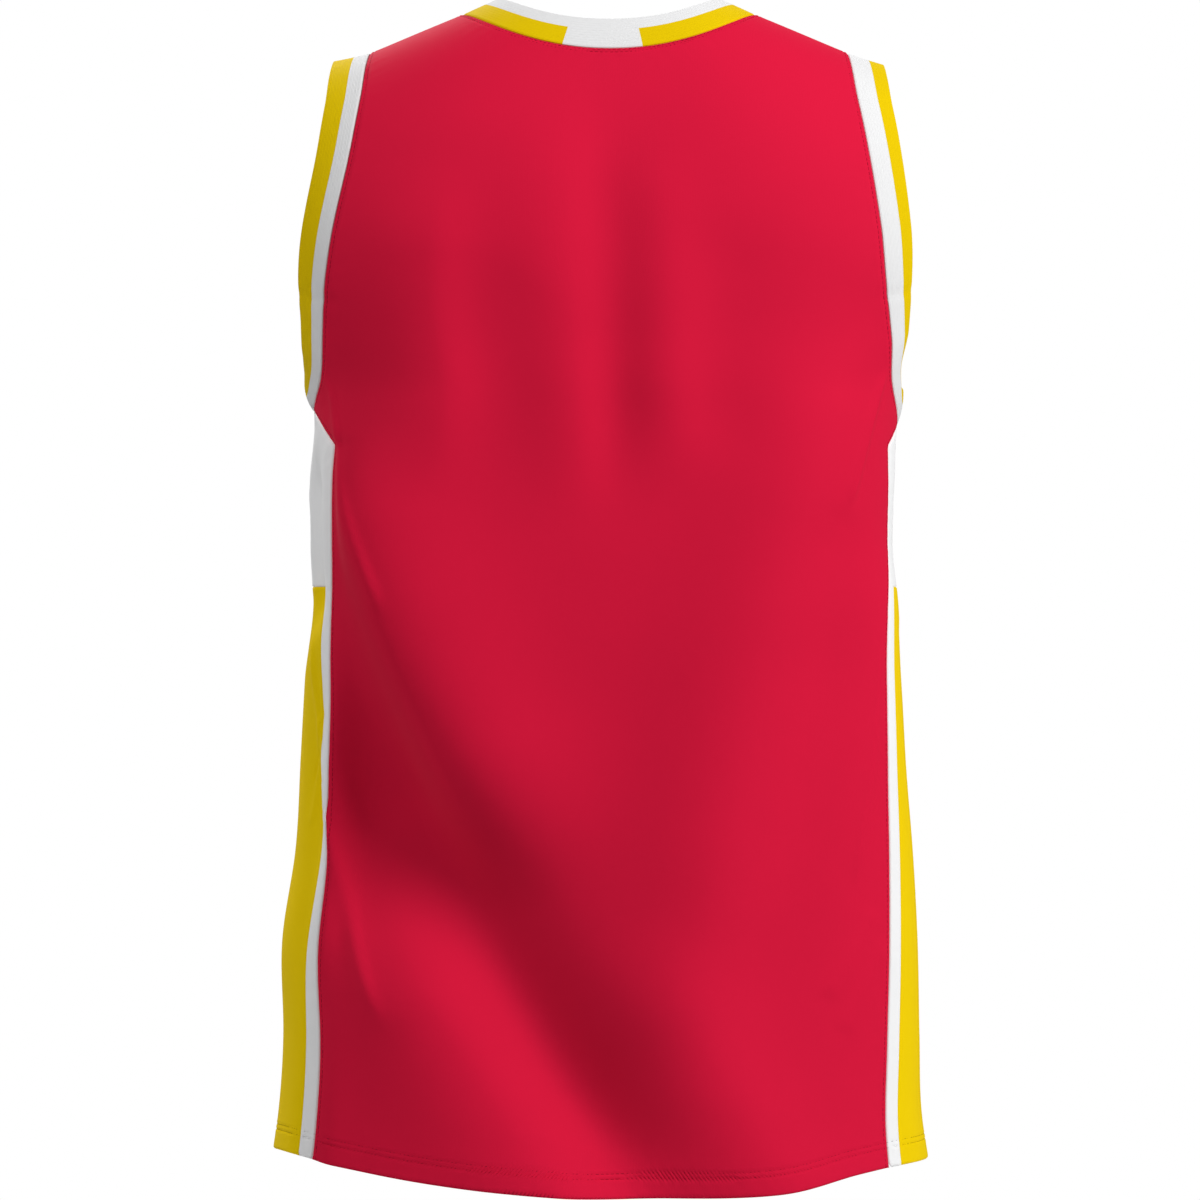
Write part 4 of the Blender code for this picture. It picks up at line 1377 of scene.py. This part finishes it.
def make_lamp(name, place, power):
    data = bpy.data.lights.new(name, "AREA")
    data.energy = power
    data.shape = "DISK"
    data.size = LAMP_SIZE
    lamp = bpy.data.objects.new(name, data)
    bpy.context.scene.collection.objects.link(lamp)
    aim(lamp, place, LAMP_TARGET)


def make_camera(stage):
    camera = bpy.data.objects.new("camera", bpy.data.cameras.new("camera"))
    bpy.context.scene.collection.objects.link(camera)
    camera.data.lens = stage.lens
    aim(camera, (0, stage.camera_distance, stage.camera_height), (0, 0, stage.camera_height))
    bpy.context.scene.camera = camera


# ---------------------------------------------------------------- operators


class JERSEY_OT_stage(Operator):
    """Set up the floor, the soft light and the camera"""

    bl_idname = "jersey.stage"
    bl_label = "Stage"

    def execute(self, context):
        stage = context.scene.jersey_stage
        make_floor(stage)
        make_world(stage)
        for name, setting, place in LAMPS:
            make_lamp(name, place, getattr(stage, setting))
        make_camera(stage)
        return {"FINISHED"}


class JERSEY_OT_panels(Operator):
    """Make the red back and front"""

    bl_idname = "jersey.panels"
    bl_label = "Back and front"

    def execute(self, context):
        for side, word in SIDES.items():
            piece, stitches = cloth_piece(word + "_panel", panel_runs(side), "red")
        return {"FINISHED"}


class JERSEY_OT_sides(Operator):
    """Make the white side panels and their yellow inserts"""

    bl_idname = "jersey.sides"
    bl_label = "Sides"

    def execute(self, context):
        for hand, word in HANDS.items():
            panel, insert = side_runs(hand)
            for node, runs, colour, flat, area in (
                ("side_panel_" + word, panel, "white", (0.20, 0.48), 0.03),
                ("side_insert_" + word, insert, "yellow", (0.18, 0.37), 0.06),
            ):
                piece, stitches = cloth_piece(node, runs, colour)
        return {"FINISHED"}


class JERSEY_OT_armholes(Operator):
    """Make the bands of the armholes"""

    bl_idname = "jersey.armholes"
    bl_label = "Armholes"

    def execute(self, context):
        for hand in HANDS:
            shares = (ARM_WHITE_SHARES[hand], 1 - ARM_WHITE_SHARES[hand])
            for piece, share in zip(make_armhole(hand), shares):
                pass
        return {"FINISHED"}


class JERSEY_OT_neck(Operator):
    """Make the band of the neck"""

    bl_idname = "jersey.neck"
    bl_label = "Neck"

    def execute(self, context):
        for piece, share in zip(make_neck(), (NECK_YELLOW_SHARE, 1 - NECK_YELLOW_SHARE)):
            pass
        return {"FINISHED"}


class VIEW3D_PT_jersey(Panel):
    """The jersey's settings and the steps that make it"""

    bl_space_type = "VIEW_3D"
    bl_region_type = "UI"
    bl_category = "Jersey"
    bl_label = "Basketball Jersey"

    def draw(self, context):
        for name in SETTINGS:
            box = self.layout.box()
            group = getattr(context.scene, name)
            for key in group.__annotations__:
                box.prop(group, key)
        for step in STEPS:
            self.layout.operator(step.bl_idname)


SETTINGS = {
    "jersey_cloth": JerseyCloth,
    "jersey_band": JerseyBand,
    "jersey_stitch": JerseyStitch,
    "jersey_colour": JerseyColour,
    "jersey_stage": JerseyStage,
}
STEPS = (JERSEY_OT_stage, JERSEY_OT_panels, JERSEY_OT_sides, JERSEY_OT_armholes, JERSEY_OT_neck)


def register():
    for name, group in SETTINGS.items():
        bpy.utils.register_class(group)
        setattr(bpy.types.Scene, name, PointerProperty(type=group))
    for step in (*STEPS, VIEW3D_PT_jersey):
        bpy.utils.register_class(step)


def unregister():
    for step in reversed((*STEPS, VIEW3D_PT_jersey)):
        bpy.utils.unregister_class(step)
    for name, group in SETTINGS.items():
        delattr(bpy.types.Scene, name)
        bpy.utils.unregister_class(group)


def main():
    register()
    bpy.ops.jersey.stage()
    bpy.ops.jersey.panels()
    bpy.ops.jersey.sides()
    bpy.ops.jersey.armholes()
    bpy.ops.jersey.neck()


if __name__ == "__main__":
    main()
